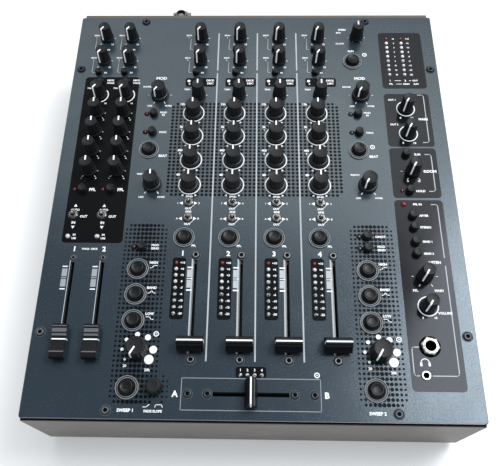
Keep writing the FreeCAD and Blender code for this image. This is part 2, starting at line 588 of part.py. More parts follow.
collar = turned("collar", [
    ("large_radius + button_gap", "-panel_thick"), ("collar_hole - 0.1", "-panel_thick"),
    ("collar_hole - 0.1", "0"), ("collar_radius", "0"), ("collar_radius", "collar_height * 0.6"),
    ("collar_radius - 0.7", "collar_height"), ("large_radius + button_gap", "collar_height")])
keep(group("button_collars", place_all("button_collar", [collar], collar_spots)))

# Lamps.


def lamp_lens(label, radius, height):
    return turned(label, [
        ("0", "-3.5"), (radius, "-3.5"), (radius, f"{height} * 0.3"), (f"{radius} * 0.85", f"{height} * 0.7"),
        (f"{radius} * 0.5", f"{height} * 0.93"), ("0", height)])


small_lens = lamp_lens("small_lens", "lamp_radius", "lamp_height")
large_lens = lamp_lens("large_lens", "large_lamp_radius", "large_lamp_height")
keep(group("led_lenses", place_all("lamp", [small_lens], lamp_spots)
           + place_all("large_lamp", [large_lens], large_lamp_spots)))

# Toggles: a lever with a ball that tilts on a cross pin inside a fixed threaded bushing.
lever_ball = doc.addObject("Part::Sphere", "lever_ball")
bind(lever_ball, {"Radius": "lever_ball"})
lever_rod = doc.addObject("Part::Cone", "lever_rod")
bind(lever_rod, {"Radius1": "lever_root", "Radius2": "lever_tip", "Height": "lever_height"})
lever_end = doc.addObject("Part::Sphere", "lever_end")
bind(lever_end, {"Radius": "lever_tip", "Placement.Base.z": "lever_height"})
lever_pin = rod("lever_pin", "0.5", "2 * lever_pin_half", y="lever_pin_half")
lever_pin.Placement = Placement(lever_pin.Placement.Base, Rotation(Vector(1, 0, 0), 90))
toggle_lever = fused("toggle_lever", [lever_ball, lever_rod, lever_end, lever_pin])
bushing = cut("bushing",
              rod("bushing_outside", "bushing_radius", "bushing_rise + panel_thick + 3", z="-panel_thick - 3"),
              rod("bushing_inside", "bushing_bore", "bushing_rise + panel_thick + 4", z="-panel_thick - 2"))
toggle_nut = new_body("toggle_nut")
nut_outline = add_sketch(toggle_nut, "toggle_nut_outline")
add_hexagon(nut_outline, "toggle_nut")
add_circle(nut_outline, "0", "0", "bushing_radius + 0.05")
pad(toggle_nut, nut_outline, "nut_thick")
toggle_names = [f"channel_{channel + 1}_{row}_toggle" for row in ("filter", "side") for channel in CHANNELS]
toggle_names += [f"mic_{mic + 1}_toggle" for mic in MICS]
toggle_spots = channel_toggle_spots + mic_toggle_spots
for label, (x, y) in zip(toggle_names, toggle_spots):
    keep(place(label, [toggle_lever], x, y, "panel_top - pivot_depth",
               about_z(90 if label.startswith("mic") else 0)))
keep(group("toggle_bushings", place_all("toggle_mount", [bushing, toggle_nut], toggle_spots)))

# Faders: a cap on a flat metal lever. They rest at the near end of their travel, the crossfader
# in the middle.
fader_lever = block("fader_lever", "lever_thick", "lever_width", "cap_low + 9", z="-9")
short_cap = new_body("short_cap")
cap_face = add_sketch(short_cap, "cap_face", "XZ_Plane")
add_polygon(cap_face, [("-cap_length_low / 2", "cap_low"), ("cap_length_low / 2", "cap_low"),
                       ("cap_length_high / 2", "cap_high"), ("-cap_length_high / 2", "cap_high")])
pad(short_cap, cap_face, "cap_depth_low", symmetric=True)
cap_sides = add_sketch(short_cap, "cap_sides", "YZ_Plane")
for sign in ("", "-"):
    add_polygon(cap_sides, [(f"{sign}cap_depth_low / 2", "cap_low"),
                            (f"{sign}(cap_depth_low / 2 + 1)", "cap_low"),
                            (f"{sign}(cap_depth_low / 2 + 1)", "cap_high + 1"),
                            (f"{sign}cap_depth_high / 2", "cap_high + 1"),
                            (f"{sign}cap_depth_high / 2", "cap_high")])
cap_slopes = short_cap.newObject("PartDesign::Pocket", "cap_slopes")
cap_slopes.Profile = cap_sides
cap_slopes.Type = "ThroughAll"
cap_slopes.Midplane = True
doc.recompute()
cap_round = short_cap.newObject("PartDesign::Fillet", "cap_round")
cap_round.Base = (cap_slopes, [f"Edge{number}" for number, edge in enumerate(cap_slopes.Shape.Edges, start=1)
                               if edge.BoundBox.ZMin > value("cap_high") - 0.01])
bind(cap_round, {"Radius": "cap_edge"})
doc.recompute()
long_cap = new_body("long_cap")
saddle = add_sketch(long_cap, "long_cap_saddle", "YZ_Plane")
half_saddle = [("long_cap_half", "cap_low"), ("long_cap_half - 0.5", "long_cap_ridge - 0.8"),
               ("long_cap_half - 2", "long_cap_ridge"), ("long_cap_half - 4.5", "long_cap_ridge - 0.8"),
               ("long_cap_half * 0.25", "long_cap_saddle")]
add_polygon(saddle, half_saddle + [(f"-({y})", z) for y, z in reversed(half_saddle)])
pad(long_cap, saddle, "long_cap_width", symmetric=True)
for number, (x, y) in enumerate(fader_spots, start=1):
    keep(place(f"channel_fader_{number}", [short_cap, fader_lever], x, f"{y} - fader_travel / 2"))
for number, (x, y) in enumerate(mic_fader_spots, start=1):
    keep(place(f"mic_fader_{number}", [long_cap, fader_lever], x, f"{y} - fader_travel / 2"))
keep(place("crossfader", [short_cap, fader_lever], "cross_x", "cross_y", turn=about_z(90)))


def fader_housing(name, travel, screw_half):
    """Long box with a slot for the lever and two screw holes, below the panel."""
    top = "-panel_thick"
    outside = block(f"{name}_outside", "fader_body", f"{travel} + fader_spare", "fader_height",
                    z=f"{top} - fader_height")
    openings = [block(f"{name}_slot", "lever_thick + 1", f"{travel} + lever_width + 2", "9", z=f"{top} - 8")]
    openings += [rod(f"{name}_thread_{end}", "screw_hole", "9", y=f"{sign}{screw_half}", z=f"{top} - 8")
                 for end, sign in (("far", ""), ("near", "-"))]
    return cut(name, outside, group(f"{name}_openings", openings))


fader_body = fader_housing("fader_body", "fader_travel", "fader_screw_half")
mic_fader_body = fader_housing("mic_fader_body", "fader_travel", "mic_screw_half")
cross_body = fader_housing("cross_body", "cross_travel", "cross_screw_inner")
plate_rest = cut("plate_rest", block("plate_rest_outside", "11", "20", "4", y="4", z="-panel_thick - 4"),
                 rod("plate_rest_thread", "screw_hole", "6", z="-panel_thick - 5"))
keep(group("fader_bodies", place_all("fader_housing", [fader_body], fader_spots)
           + place_all("mic_fader_housing", [mic_fader_body], mic_fader_spots)
           + [place("cross_housing", [cross_body], "cross_x", "cross_y", turn=about_z(90))]
           + place_all("plate_support", [plate_rest], cross_screw_spots[2:])))

# Screws and feet.
panel_screw = turned("panel_screw", [
    ("0", "-screw_length"), ("screw_radius", "-screw_length"), ("screw_radius", "0"), ("screw_head", "0"),
    ("screw_head", "screw_rise * 0.5"), ("screw_head - 0.7", "screw_rise"), ("0", "screw_rise")])
screw_socket = add_sketch(panel_screw, "screw_socket", lift="screw_rise")
add_hexagon(screw_socket, "screw_key")
recess(panel_screw, screw_socket, "0.9")
screw_spots = lip_screw_spots + back_screw_spots + fader_screw_spots + cross_screw_spots
keep(group("panel_screws", place_all("screw", [panel_screw], screw_spots)))

rubber_foot = turned("rubber_foot", [
    ("0", "0"), ("foot_radius - 1", "0"), ("foot_radius", "1"), ("foot_radius", "foot_height"),
    ("0", "foot_height")])
keep(group("rubber_feet", [place(f"foot_{side}{end}", [rubber_foot], f"{side}foot_x", f"{end}foot_y", "0")
                           for side in ("", "-") for end in ("", "-")]))

# Control board: potentiometers, push switches and toggle bodies stand on it, pillars hang it
# from the panel, and a cut-out clears the headphone sockets.
board = cut("board",
            block("board_sheet", "board_width", "board_length", "board_thick", x="-2",
                  z="-board_depth - board_thick"),
            block("board_cutout", "26", "42", "board_thick + 2", x="jack_x - 1", y="jack_y - 10",
                  z="-board_depth - board_thick - 1"))
pot = cut("pot",
          fused("pot_outside", [
              block("pot_case", "pot_width", "pot_length", "pot_height", z="-board_depth"),
              rod("pot_neck", "pot_bushing", "board_depth - pot_height - 3", z="pot_height - board_depth")]),
          rod("pot_hollow", "pot_bore", "board_depth", z="body_floor - board_depth"))
switch = cut("switch", block("switch_case", "switch_width", "switch_width", "switch_height", z="-board_depth"),
             rod("switch_hollow", "switch_bore", "switch_height", z="body_floor - board_depth"))
toggle_case = block("toggle_case", "toggle_body", "toggle_body", "board_depth - panel_thick - 3",
                    z="-board_depth")
pillar = rod("pillar", "pillar_radius", "board_depth - panel_thick", z="-board_depth")
pillar_spots = [(x, y) for x in ("-100", "108") for y in ("-150", "20", "120")]
keep(group("control_board", [place("main_board", [board], "0", "0")]
           + place_all("pot_body", [pot], knob_spots)
           + place_all("switch_body", [switch], small_button_spots + lamp_button_spots + collar_spots)
           + place_all("toggle_body", [toggle_case], toggle_spots)
           + place_all("board_pillar", [pillar], pillar_spots)))

# Headphone sockets: bored bushings through the panel, the larger held by a washer and a hex nut.
jack = turned("jack", [
    ("plug_radius", "jack_rise"), ("jack_bushing", "jack_rise"), ("jack_bushing", "-panel_thick"),
    ("jack_body", "-panel_thick"), ("jack_body", "-jack_length"), ("0", "-jack_length"),
    ("0", "3 - jack_length"), ("plug_radius", "3 - jack_length")])
jack_washer = turned("jack_washer", [
    ("jack_bushing + 0.05", "0"), ("washer_radius", "0"), ("washer_radius", "washer_thick * 0.6"),
    ("washer_radius - 0.4", "washer_thick"), ("jack_bushing + 0.05", "washer_thick")])
jack_nut = new_body("jack_nut")
jack_nut_outline = add_sketch(jack_nut, "jack_nut_outline", lift="washer_thick")
add_hexagon(jack_nut_outline, "jack_nut")
add_circle(jack_nut_outline, "0", "0", "jack_bushing + 0.05")
pad(jack_nut, jack_nut_outline, "1.8")
mini_jack = turned("mini_jack", [
    ("mini_plug", "1"), ("mini_bushing", "1"), ("mini_bushing", "-panel_thick"),
    ("mini_body", "-panel_thick"), ("mini_body", "-17"), ("0", "-17"), ("0", "-15"), ("mini_plug", "-15")])
keep(group("headphone_sockets", [
    place("phones_jack", [jack, jack_washer, jack_nut], "jack_x", "jack_y"),
    place("phones_mini_jack", [mini_jack], "mini_x", "mini_y")]))

# Sockets on the back: sixteen phono inputs, two microphone inputs and four jack outputs.
phono = turned("phono", [
    ("0", "-8"), ("phono_neck", "-8"), ("phono_neck", "0"), ("phono_flange", "0"), ("phono_flange", "1.5"),
    ("phono_barrel", "1.5"), ("phono_barrel", "phono_length"), ("3.2", "phono_length"),
    ("3.2", "phono_length - 1"), ("0", "phono_length - 1")])
xlr = fused("xlr", [block("xlr_flange", "xlr_width", "xlr_height", "2"),
                    rod("xlr_shell", "xlr_radius", "24", z="-22")])
rear_y = f"{back}"
keep(group("rear_sockets",
           [place(f"phono_{number}", [phono], x, rear_y, z, FACING_BACK)
            for number, (x, z) in enumerate(phono_spots, start=1)]
           + [place(f"mic_input_{number}", [xlr], x, rear_y, z, FACING_BACK)
              for number, (x, z) in enumerate(xlr_spots, start=1)]
           + [place(f"output_{number}", [jack, jack_washer, jack_nut], x, rear_y, z, FACING_BACK)
              for number, (x, z) in enumerate(output_spots, start=1)]))

# Mains inlet: a moulded shell with a recess for the plug, three blades, and a well for the
# rocker. Its own Z faces the back, and its own Y down.
inlet_shell = cut("inlet_shell",
                  fused("inlet_outside", [
                      block("inlet_flange", "inlet_width + 4", "inlet_height + 4", "2"),
                      block("inlet_case", "inlet_width", "inlet_height", "inlet_depth", z="2 - inlet_depth")]),
                  group("inlet_wells", [
                      block("plug_well", "plug_width", "plug_height", "plug_depth + 1", y="-plug_z",
                            z="2 - plug_depth"),
                      block("rocker_well", "rocker_width + rocker_gap", "rocker_height + 2 * rocker_gap",
                            "rocker_depth + 6", y="-rocker_z", z="-rocker_depth - 3")]))
blades = [block(f"blade_{number}", "2", "4", "9", x=x, y=y, z="2 - plug_depth")
          for number, (x, y) in enumerate([("-7", "-plug_z + 2"), ("7", "-plug_z + 2"), ("0", "-plug_z - 4")])]
keep(place("mains_inlet", [inlet_shell, *blades], "inlet_x", rear_y, "inlet_z", FACING_BACK))
rocker_pin = rod("rocker_pin", "1.2", "rocker_width + 0.6", x="-rocker_width / 2 - 0.3")
rocker_pin.Placement = Placement(rocker_pin.Placement.Base, Rotation(Vector(0, 1, 0), 90))
rocker = fused("rocker", [block("rocker_paddle", "rocker_width", "rocker_height", "rocker_depth",
                                z="-rocker_depth / 2 + 1"), rocker_pin])
keep(place("mains_rocker", [rocker], "inlet_x", rear_y, "inlet_z + rocker_z", SWITCHED_OFF))

# Lamp socket: a bayonet socket on an angle bracket, whose flange lies on the rear panel.
lamp_bracket = cut("lamp_bracket",
                   fused("lamp_angle", [
                       block("lamp_tab", "lamp_tab_width", "lamp_tab_depth", "sheet_thick",
                             y="lamp_tab_depth / 2 - lamp_out", z="-sheet_thick"),
                       block("lamp_flange", "lamp_tab_width", "sheet_thick", "lamp_flange_height",
                             y="sheet_thick / 2 - lamp_out", z="-lamp_flange_height")]),
                   rod("lamp_opening", "6.25", "2 * sheet_thick", z="-1.5 * sheet_thick"))
lamp_barrel = turned("lamp_barrel", [
    ("0", "-8"), ("6.2", "-8"), ("6.2", "2.5"), ("4.8", "2.5"), ("4.8", "7.5"), ("4.1", "7.5"), ("4.1", "3"),
    ("2.3", "3"), ("2.3", "5.5"), ("0", "5.5")])
lamp_lugs = [rod(f"lamp_lug_{number}", "1", "1.4", x=x, z="6") for number, x in enumerate(("4.5", "-4.5"))]
for lug, quarter in zip(lamp_lugs, (90, -90)):
    lug.Placement = Placement(lug.Placement.Base, Rotation(Vector(0, 1, 0), quarter))
lamp_nut = new_body("lamp_nut")
lamp_nut_outline = add_sketch(lamp_nut, "lamp_nut_outline")
add_hexagon(lamp_nut_outline, "jack_nut + 4")
add_circle(lamp_nut_outline, "0", "0", "6.25")
pad(lamp_nut, lamp_nut_outline, "2.4")
keep(place("lamp_socket", [lamp_bracket, fused("lamp_body", [lamp_barrel, *lamp_lugs]), lamp_nut],
           "lamp_x", f"{rear_y} + lamp_out", "lamp_tab_z + sheet_thick"))

# Power supply on the tray floor: a ring-core transformer under its clamp, and a regulator board
# with a heat sink.
floor = "foot_height + sheet_thick"
core = turned("core", [("core_bore", "0"), ("core_radius", "0"), ("core_radius", "core_height"),
                       ("core_bore", "core_height")])
clamp = rod("clamp", "core_radius - 4", "2", z="core_height")
clamp_bolt = rod("clamp_bolt", "4", "core_height", z="0")
supply_board = block("supply_board", "supply_width", "supply_length", "board_thick", z="supply_rise")
heat_sink = block("heat_sink", "supply_width - 30", "16", "26", y="20", z="supply_rise + board_thick")
smoothing = [rod(f"capacitor_{number}", "9", "30", x=x, y="-14", z="supply_rise + board_thick")
             for number, x in enumerate(("-30", "-8", "14"), start=1)]
spacers = [rod(f"spacer_{sign_x}{sign_y}", "3", "supply_rise", x=f"{sign_x}(supply_width / 2 - 6)",
               y=f"{sign_y}(supply_length / 2 - 6)") for sign_x in ("", "-") for sign_y in ("", "-")]
keep(group("power_supply", [
    place("transformer", [core, clamp, clamp_bolt], "core_x", "core_y", floor),
    place("regulator", [supply_board, heat_sink, *smoothing, *spacers], "supply_x", "supply_y", floor)]))

# Export.
doc.recompute()
for item in doc.Objects:
    if {"Invalid", "Error"} & set(item.State):
        raise RuntimeError(f"{item.Label}: {item.State}")
os.makedirs("parts", exist_ok=True)
for piece in sub_parts:
    if piece.Shape.isNull() or not piece.Shape.isValid():
        raise RuntimeError(f"{piece.Label} has no valid shape")
    piece.Shape.exportStep(os.path.join("parts", f"{piece.Label}.step"))
    print(f"{piece.Label}: {len(piece.Shape.Solids)} solids, {piece.Shape.Volume:.0f} mm3")
print(f"{len(sub_parts)} pieces")
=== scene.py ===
# %% [markdown]
# # A four-channel club mixing desk
# The CAD frame holds every solid of the desk: a folded steel case, a thick front panel, and the controls
# that stand on it. It could be shown as it is, in grey. Here the parts that a hand or an eye meets are made
# again with their grips, dishes and rims, the printing is laid on the panel as thin sheets of ink, and
# every surface gets a finish of its own. Sizes are in millimetres from the middle of the panel's upper
# face, X to the right and Y to the back, because that is how a panel drawing gives them.

# %% Load the frame
import math

import bmesh
import bpy
from mathutils import Matrix, Quaternion, Vector


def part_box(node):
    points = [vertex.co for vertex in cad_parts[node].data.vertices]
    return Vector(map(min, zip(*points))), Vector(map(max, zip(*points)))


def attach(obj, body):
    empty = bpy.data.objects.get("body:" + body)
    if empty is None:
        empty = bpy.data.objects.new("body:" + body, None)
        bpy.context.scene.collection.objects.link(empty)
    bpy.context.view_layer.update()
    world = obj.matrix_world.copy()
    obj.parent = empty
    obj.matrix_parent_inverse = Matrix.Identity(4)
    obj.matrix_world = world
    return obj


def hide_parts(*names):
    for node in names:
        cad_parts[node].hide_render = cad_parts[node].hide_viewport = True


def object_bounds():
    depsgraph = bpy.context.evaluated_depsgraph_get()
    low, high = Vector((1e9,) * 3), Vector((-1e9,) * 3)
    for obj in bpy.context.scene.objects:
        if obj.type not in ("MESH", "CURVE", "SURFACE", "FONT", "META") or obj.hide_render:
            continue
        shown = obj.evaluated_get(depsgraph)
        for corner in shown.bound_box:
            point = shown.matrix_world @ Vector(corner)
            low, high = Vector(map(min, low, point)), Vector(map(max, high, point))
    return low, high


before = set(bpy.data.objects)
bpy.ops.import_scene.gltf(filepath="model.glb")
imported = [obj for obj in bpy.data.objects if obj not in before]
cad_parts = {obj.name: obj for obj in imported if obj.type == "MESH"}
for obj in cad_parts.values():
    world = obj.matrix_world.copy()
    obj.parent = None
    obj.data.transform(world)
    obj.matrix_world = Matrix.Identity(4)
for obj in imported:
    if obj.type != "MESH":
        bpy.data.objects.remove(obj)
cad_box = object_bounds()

scene = bpy.context.scene
MM = 0.001
panel_low, panel_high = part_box("top_panel")
PANEL = Vector(((panel_low.x + panel_high.x) / 2, (panel_low.y + panel_high.y) / 2, panel_high.z))
print("panel middle", [round(value, 4) for value in PANEL])

# %% [markdown]
# ## The viewpoint
# The photograph looks down at the desk from the player's side. The camera's place, turn and lens were
# worked out from the panel's four corners, so a millimetre on the panel falls on the same pixel. A camera
# set by eye would be near enough for a picture, but then no size could be compared.

# %% Camera
SENSOR, FOCAL_PIXELS, PICTURE_WIDTH = 36, 640.73, 500
camera = bpy.data.objects.new("camera", bpy.data.cameras.new("camera"))
camera.data.sensor_width = SENSOR
camera.data.lens = SENSOR * FOCAL_PIXELS / PICTURE_WIDTH
camera.data.shift_x = 0.02
camera.location = PANEL + Vector((2.456, -253.832, 447.361)) * MM
camera.rotation_euler = [math.radians(angle) for angle in (25.609, 1.131, 0.999)]
scene.collection.objects.link(camera)
scene.camera = camera
scene.view_settings.view_transform = "Standard"
print("camera at", [round(value, 3) for value in camera.location])

# %% [markdown]
# ## Studio light
# Satin paint shows what it mirrors. The photograph has one bright source up on the right, whose reflection
# lies on the lower right of the panel, a dim wall behind the desk and darkness up on the left. Soft boxes
# and a grey surround give the same. Each box is set by the brightness that the paint should see, and its
# power follows from its size. The last one lights the printing from above without a reflection of its own.

# %% Lights and floor
def softbox(name, direction, distance, width, height, brightness, colour=(1, 1, 1), roll=0.0):
    """A lamp aimed at the panel. Distance, width and height are in metres, roll in degrees."""
    lamp = bpy.data.lights.new(name, "AREA")
    lamp.shape, lamp.size, lamp.size_y = "RECTANGLE", width, height
    lamp.energy = brightness * math.pi * width * height
    lamp.color = colour
    box = bpy.data.objects.new(name, lamp)
    box.location = PANEL + Vector(direction).normalized() * distance
    aim = (PANEL - box.location).to_track_quat("-Z", "Y") @ Quaternion((0, 0, 1), math.radians(roll))
    box.rotation_euler = aim.to_euler()
    box.visible_camera = False
    scene.collection.objects.link(box)
    return box


softbox("key_box", (0.462, 0.19, 0.866), 1.62, 0.8, 0.56, 13.6, (0.94, 0.97, 1), roll=-47)
softbox("back_box", (0.12, 0.58, 0.805), 2.2, 2.6, 1.0, 2.15, (1, 0.985, 0.94))
softbox("window_box", (0.16, 0.55, 0.815), 2.1, 0.9, 0.5, 1.9, (1, 0.99, 0.955))
softbox("front_fill", (-0.1, -0.8, 0.6), 2.2, 1.6, 1.0, 0.4)
softbox("top_fill", (-0.05, -0.1, 1), 1.8, 1.4, 1.4, 1.3).visible_glossy = False
world = bpy.data.worlds.new("studio")
world.use_nodes = True
world.node_tree.nodes["Background"].inputs["Color"].default_value = (0.3, 0.335, 0.37, 1)
scene.world = world

FLOOR_REACH = 5
floor_mesh = bpy.data.meshes.new("floor")
corners = [(x * FLOOR_REACH, y * FLOOR_REACH, cad_box[0].z) for x, y in ((-1, -1), (1, -1), (1, 1), (-1, 1))]
floor_mesh.from_pydata(corners, [], [(0, 1, 2, 3)])
floor = bpy.data.objects.new("floor", floor_mesh)
scene.collection.objects.link(floor)

# %% [markdown]
# ## Node maths
# Both finishes and repeated shapes are made of node trees. Linking each node by hand is long and hard to
# read, so one small class wraps a socket: a sum of wires adds the Math nodes, and one method adds any other
# node.

# %% Wires
class Wire:
    """A socket of a node tree that can be used in Python sums."""

    def __init__(self, tree, socket):
        self.tree, self.socket = tree, socket

    def node(self, kind, settings=None, sockets=None, out=0):
        made = self.tree.nodes.new(kind)
        for name, value in (settings or {}).items():
            setattr(made, name, value)
        for name, value in (sockets or {}).items():
            if isinstance(value, Wire):
                self.tree.links.new(value.socket, made.inputs[name])
            else:
                made.inputs[name].default_value = value
        return Wire(self.tree, made.outputs[out])

    def math(self, operation, *others):
        return self.node("ShaderNodeMath", {"operation": operation}, dict(enumerate((self, *others))))

    def into(self, node, socket):
        self.tree.links.new(self.socket, node.inputs[socket])

    def __add__(self, other):
        return self.math("ADD", other)

    def __sub__(self, other):
        return self.math("SUBTRACT", other)

    def __rsub__(self, other):
        return self.node("ShaderNodeMath", {"operation": "SUBTRACT"}, {0: other, 1: self})

    def __mul__(self, other):
        return self.math("MULTIPLY", other)

    def __truediv__(self, other):
        return self.math("DIVIDE", other)

    def __pow__(self, other):
        return self.math("POWER", other)


def noise(place, scale, detail=2.0):
    return place.node("ShaderNodeTexNoise", None, {"Vector": place, "Scale": scale, "Detail": detail})


def mixed(amount, first, second):
    return amount.node("ShaderNodeMix", {"data_type": "RGBA"}, {0: amount, 6: first, 7: second}, out=2)


def bumped(height, strength, depth):
    sockets = {"Strength": strength, "Distance": depth * MM, "Height": height}
    return height.node("ShaderNodeBump", None, sockets, out="Normal")


def rgb(red, green, blue):
    return red, green, blue, 1.0


print("wires ready")

# %% [markdown]
# ## Paints, plastics and inks
# Most surfaces here are sprayed, moulded or screen printed. Seen close, each is a base tone that drifts over
# a hand's width, a fine fleck, a gloss that is not quite even and a faint relief. One recipe gives all of
# them, and only its numbers change: flat colours would look like toys, and picture files can't be used.

# %% Sprayed and moulded finishes
DRIFT, CLOUDS, SPECKS = 16, 55, 850
RELIEF_DEPTH = 0.06


def finish(name, **fixed):
    material = bpy.data.materials.new(name)
    material.use_nodes = True
    shader = material.node_tree.nodes["Principled BSDF"]
    for socket, value in fixed.items():
        shader.inputs[socket.replace("_", " ")].default_value = value
    corner = material.node_tree.nodes.new("ShaderNodeTexCoord")
    return material, shader, Wire(material.node_tree, corner.outputs["Object"])


def coated(name, deep, light, gloss, grain, relief, fleck=1900, uneven=0.12, speck=0.0, shine=0.5, **fixed):
    """deep and light are the tones, gloss the middle roughness. fleck and grain are per metre."""
    material, shader, place = finish(name, Specular_IOR_Level=shine, **fixed)
    tone = noise(place, DRIFT, 3) * 0.55 + noise(place, fleck, 1) * 0.45
    mixed(tone, rgb(*deep), rgb(*light)).into(shader, "Base Color")
    rough = noise(place, CLOUDS, 4) * uneven + (gloss - (uneven + speck) / 2)
    (rough + noise(place, SPECKS, 1) * speck).into(shader, "Roughness")
    bumped(noise(place, grain, 2), relief, RELIEF_DEPTH).into(shader, "Normal")
    return material


slate_paint = coated("slate_paint", (0.011, 0.021, 0.031), (0.031, 0.044, 0.057), 0.24, 900, 0.5, fleck=900,
                     speck=0.2, shine=0.6, Metallic=0.15, Specular_Tint=rgb(0.84, 0.94, 1))
# The case paint's warm grey-brown is partly the case's own grey and partly a painted warm reflection on its
# front face.
case_paint = coated("case_paint", (0.09, 0.0775, 0.066), (0.123, 0.105, 0.0885), 0.42, 1300, 0.2, shine=0.32)
# A lighter paint for a strip on the panel's front edge: a painted highlight.
edge_highlight_paint = coated("edge_highlight_paint", (0.12, 0.135, 0.15), (0.17, 0.19, 0.21), 0.3, 2000, 0.1)
black_ink = coated("black_ink", (0.002, 0.0022, 0.0026), (0.005, 0.0052, 0.006), 0.38, 1700, 0.12, shine=0.06)
charcoal_ink = coated("charcoal_ink", (0.0045, 0.0046, 0.0055), (0.009, 0.0092, 0.0108), 0.13, 1700, 0.1,
                      uneven=0.05, shine=0.16, Specular_Tint=rgb(0.88, 0.91, 1))
white_ink = coated("white_ink", (0.8, 0.82, 0.84), (0.92, 0.93, 0.94), 0.5, 2200, 0.1)
# The pointer ink glows a little: a painted glow, since the pointer is no lamp.
pointer_white = coated("pointer_white", (0.82, 0.83, 0.85), (0.92, 0.93, 0.94), 0.5, 2200, 0.1,
                       Emission_Color=rgb(1, 1, 1), Emission_Strength=0.22)
grey_ink = coated("grey_ink", (0.36, 0.39, 0.42), (0.48, 0.51, 0.54), 0.5, 2200, 0.1)
# Prints the microphone scale blocks, and also draws the crossfader plate's outline as a painted highlight.
dim_ink_and_highlight = coated("dim_ink_and_highlight", (0.25, 0.27, 0.3), (0.34, 0.365, 0.395), 0.5, 2200, 0.1)
soft_black = coated("soft_black", (0.0055, 0.0058, 0.0068), (0.012, 0.0124, 0.014), 0.46, 2600, 0.18,
                    shine=0.25, Sheen_Weight=0.03, Sheen_Roughness=0.5)
skirt_black = coated("skirt_black", (0.012, 0.0122, 0.0135), (0.022, 0.0224, 0.0245), 0.36, 2600, 0.1)
button_black = coated("button_black", (0.004, 0.0042, 0.005), (0.009, 0.0092, 0.0105), 0.33, 2400, 0.08,
                      shine=0.24)
cap_black = coated("cap_black", (0.003, 0.0033, 0.0042), (0.007, 0.0075, 0.009), 0.4, 2400, 0.12, shine=0.2)
# A grey for the lit tread tops and ledge of the fader caps: a painted highlight.
cap_highlight_grey = coated("cap_highlight_grey", (0.085, 0.088, 0.096), (0.14, 0.143, 0.152), 0.36, 2400, 0.1)
# A lighter grey for the screw cups and some lands: a painted highlight.
cup_highlight_grey = coated("cup_highlight_grey", (0.075, 0.083, 0.093), (0.13, 0.14, 0.152), 0.45, 2200, 0.1, shine=0.3)
screw_paint = coated("screw_paint", (0.016, 0.024, 0.032), (0.036, 0.046, 0.057), 0.32, 2000, 0.1,
                     Metallic=0.3)
# Near black: the own colour of black plastic washers and bores, and painted shade in screw key sockets and
# gaskets.
bore_black_and_shade = coated("bore_black_and_shade", (0.001, 0.001, 0.001), (0.003, 0.003, 0.003), 0.7, 900, 0.1, shine=0.05)
socket_black = coated("socket_black", (0.012, 0.012, 0.012), (0.02, 0.02, 0.021), 0.4, 1800, 0.25)
foot_rubber = coated("foot_rubber", (0.012, 0.012, 0.012), (0.028, 0.027, 0.026), 0.82, 900, 0.5)
board_laminate = coated("board_laminate", (0.01, 0.07, 0.03), (0.02, 0.11, 0.05), 0.35, 500, 0.3, fleck=320)
# Near black: partly the faders' black dust shields, partly painted shade in the slots above them.
dust_shield_and_shade = coated("dust_shield_and_shade", (0.006, 0.006, 0.006), (0.014, 0.014, 0.014), 0.6, 1200, 0.2)
red_plastic = coated("red_plastic", (0.35, 0.02, 0.02), (0.5, 0.035, 0.03), 0.35, 1500, 0.1)
white_plastic = coated("white_plastic", (0.62, 0.61, 0.58), (0.74, 0.73, 0.7), 0.35, 1500, 0.1)
print("coated finishes", len(bpy.data.materials))

# %% [markdown]
# ## Plated and bare metal
# Nuts, bushings and socket rims are nickel over brass: bright, with fine turning marks and a few cloudy
# spots. Long thin noise, stretched along one axis, stands for the marks. An anisotropic shader would do it
# too, but the marks would vanish in a close view.

# %% Metals
MARKS, STAINS = 900, 140


def metal(name, deep, light, gloss, stretch=(1, 1, 7)):
    material, shader, place = finish(name, Metallic=1.0)
    drawn = place.node("ShaderNodeMapping", None, {"Vector": place, "Scale": stretch})
    marks = noise(drawn, MARKS, 3)
    cloud = noise(place, STAINS, 3)
    mixed(cloud * 0.6 + marks * 0.4, rgb(*deep), rgb(*light)).into(shader, "Base Color")
    (marks * 0.16 + (cloud * 0.1 + (gloss - 0.13))).into(shader, "Roughness")
    bumped(marks, 0.06, 0.03).into(shader, "Normal")
    return material


nickel = metal("nickel", (0.42, 0.41, 0.39), (0.6, 0.59, 0.57), 0.3)
nut_steel = metal("nut_steel", (0.27, 0.263, 0.25), (0.43, 0.42, 0.4), 0.3)
worn_steel = metal("worn_steel", (0.13, 0.126, 0.119), (0.24, 0.233, 0.222), 0.34)
black_steel = metal("black_steel", (0.018, 0.018, 0.019), (0.05, 0.05, 0.052), 0.34, (1, 1, 5))
dull_steel = metal("dull_steel", (0.12, 0.121, 0.122), (0.22, 0.221, 0.222), 0.48, (1, 1, 5))
rubbed_steel = metal("rubbed_steel", (0.22, 0.22, 0.225), (0.36, 0.36, 0.37), 0.3, (1, 1, 5))
inner_steel = metal("inner_steel", (0.38, 0.38, 0.37), (0.56, 0.56, 0.55), 0.38, (1, 9, 1))
print("metals", nickel.name, black_steel.name)

# %% [markdown]
# ## Lenses and clear collars
# The lamps are off, so what shows is cast resin: milky, glossy, with a darker heart where the chip sits.
# The push buttons stand in clear collars. Glass maths would throw bright specks at this size, so the collar
# is a thin see-through tint, and its two rims, which catch the light, are rings of their own in a lighter
# grey, a painted highlight.

# %% Resin and clear plastic
def resin(name, deep, light, contrast=1.0):
    material, shader, place = finish(name, Coat_Weight=0.6, Coat_Roughness=0.05)
    heart = (noise(place, 700, 1) - 0.5) * contrast + 0.5
    mixed(heart, rgb(*deep), rgb(*light)).into(shader, "Base Color")
    (noise(place, 300, 2) * 0.1 + 0.08).into(shader, "Roughness")
    return material


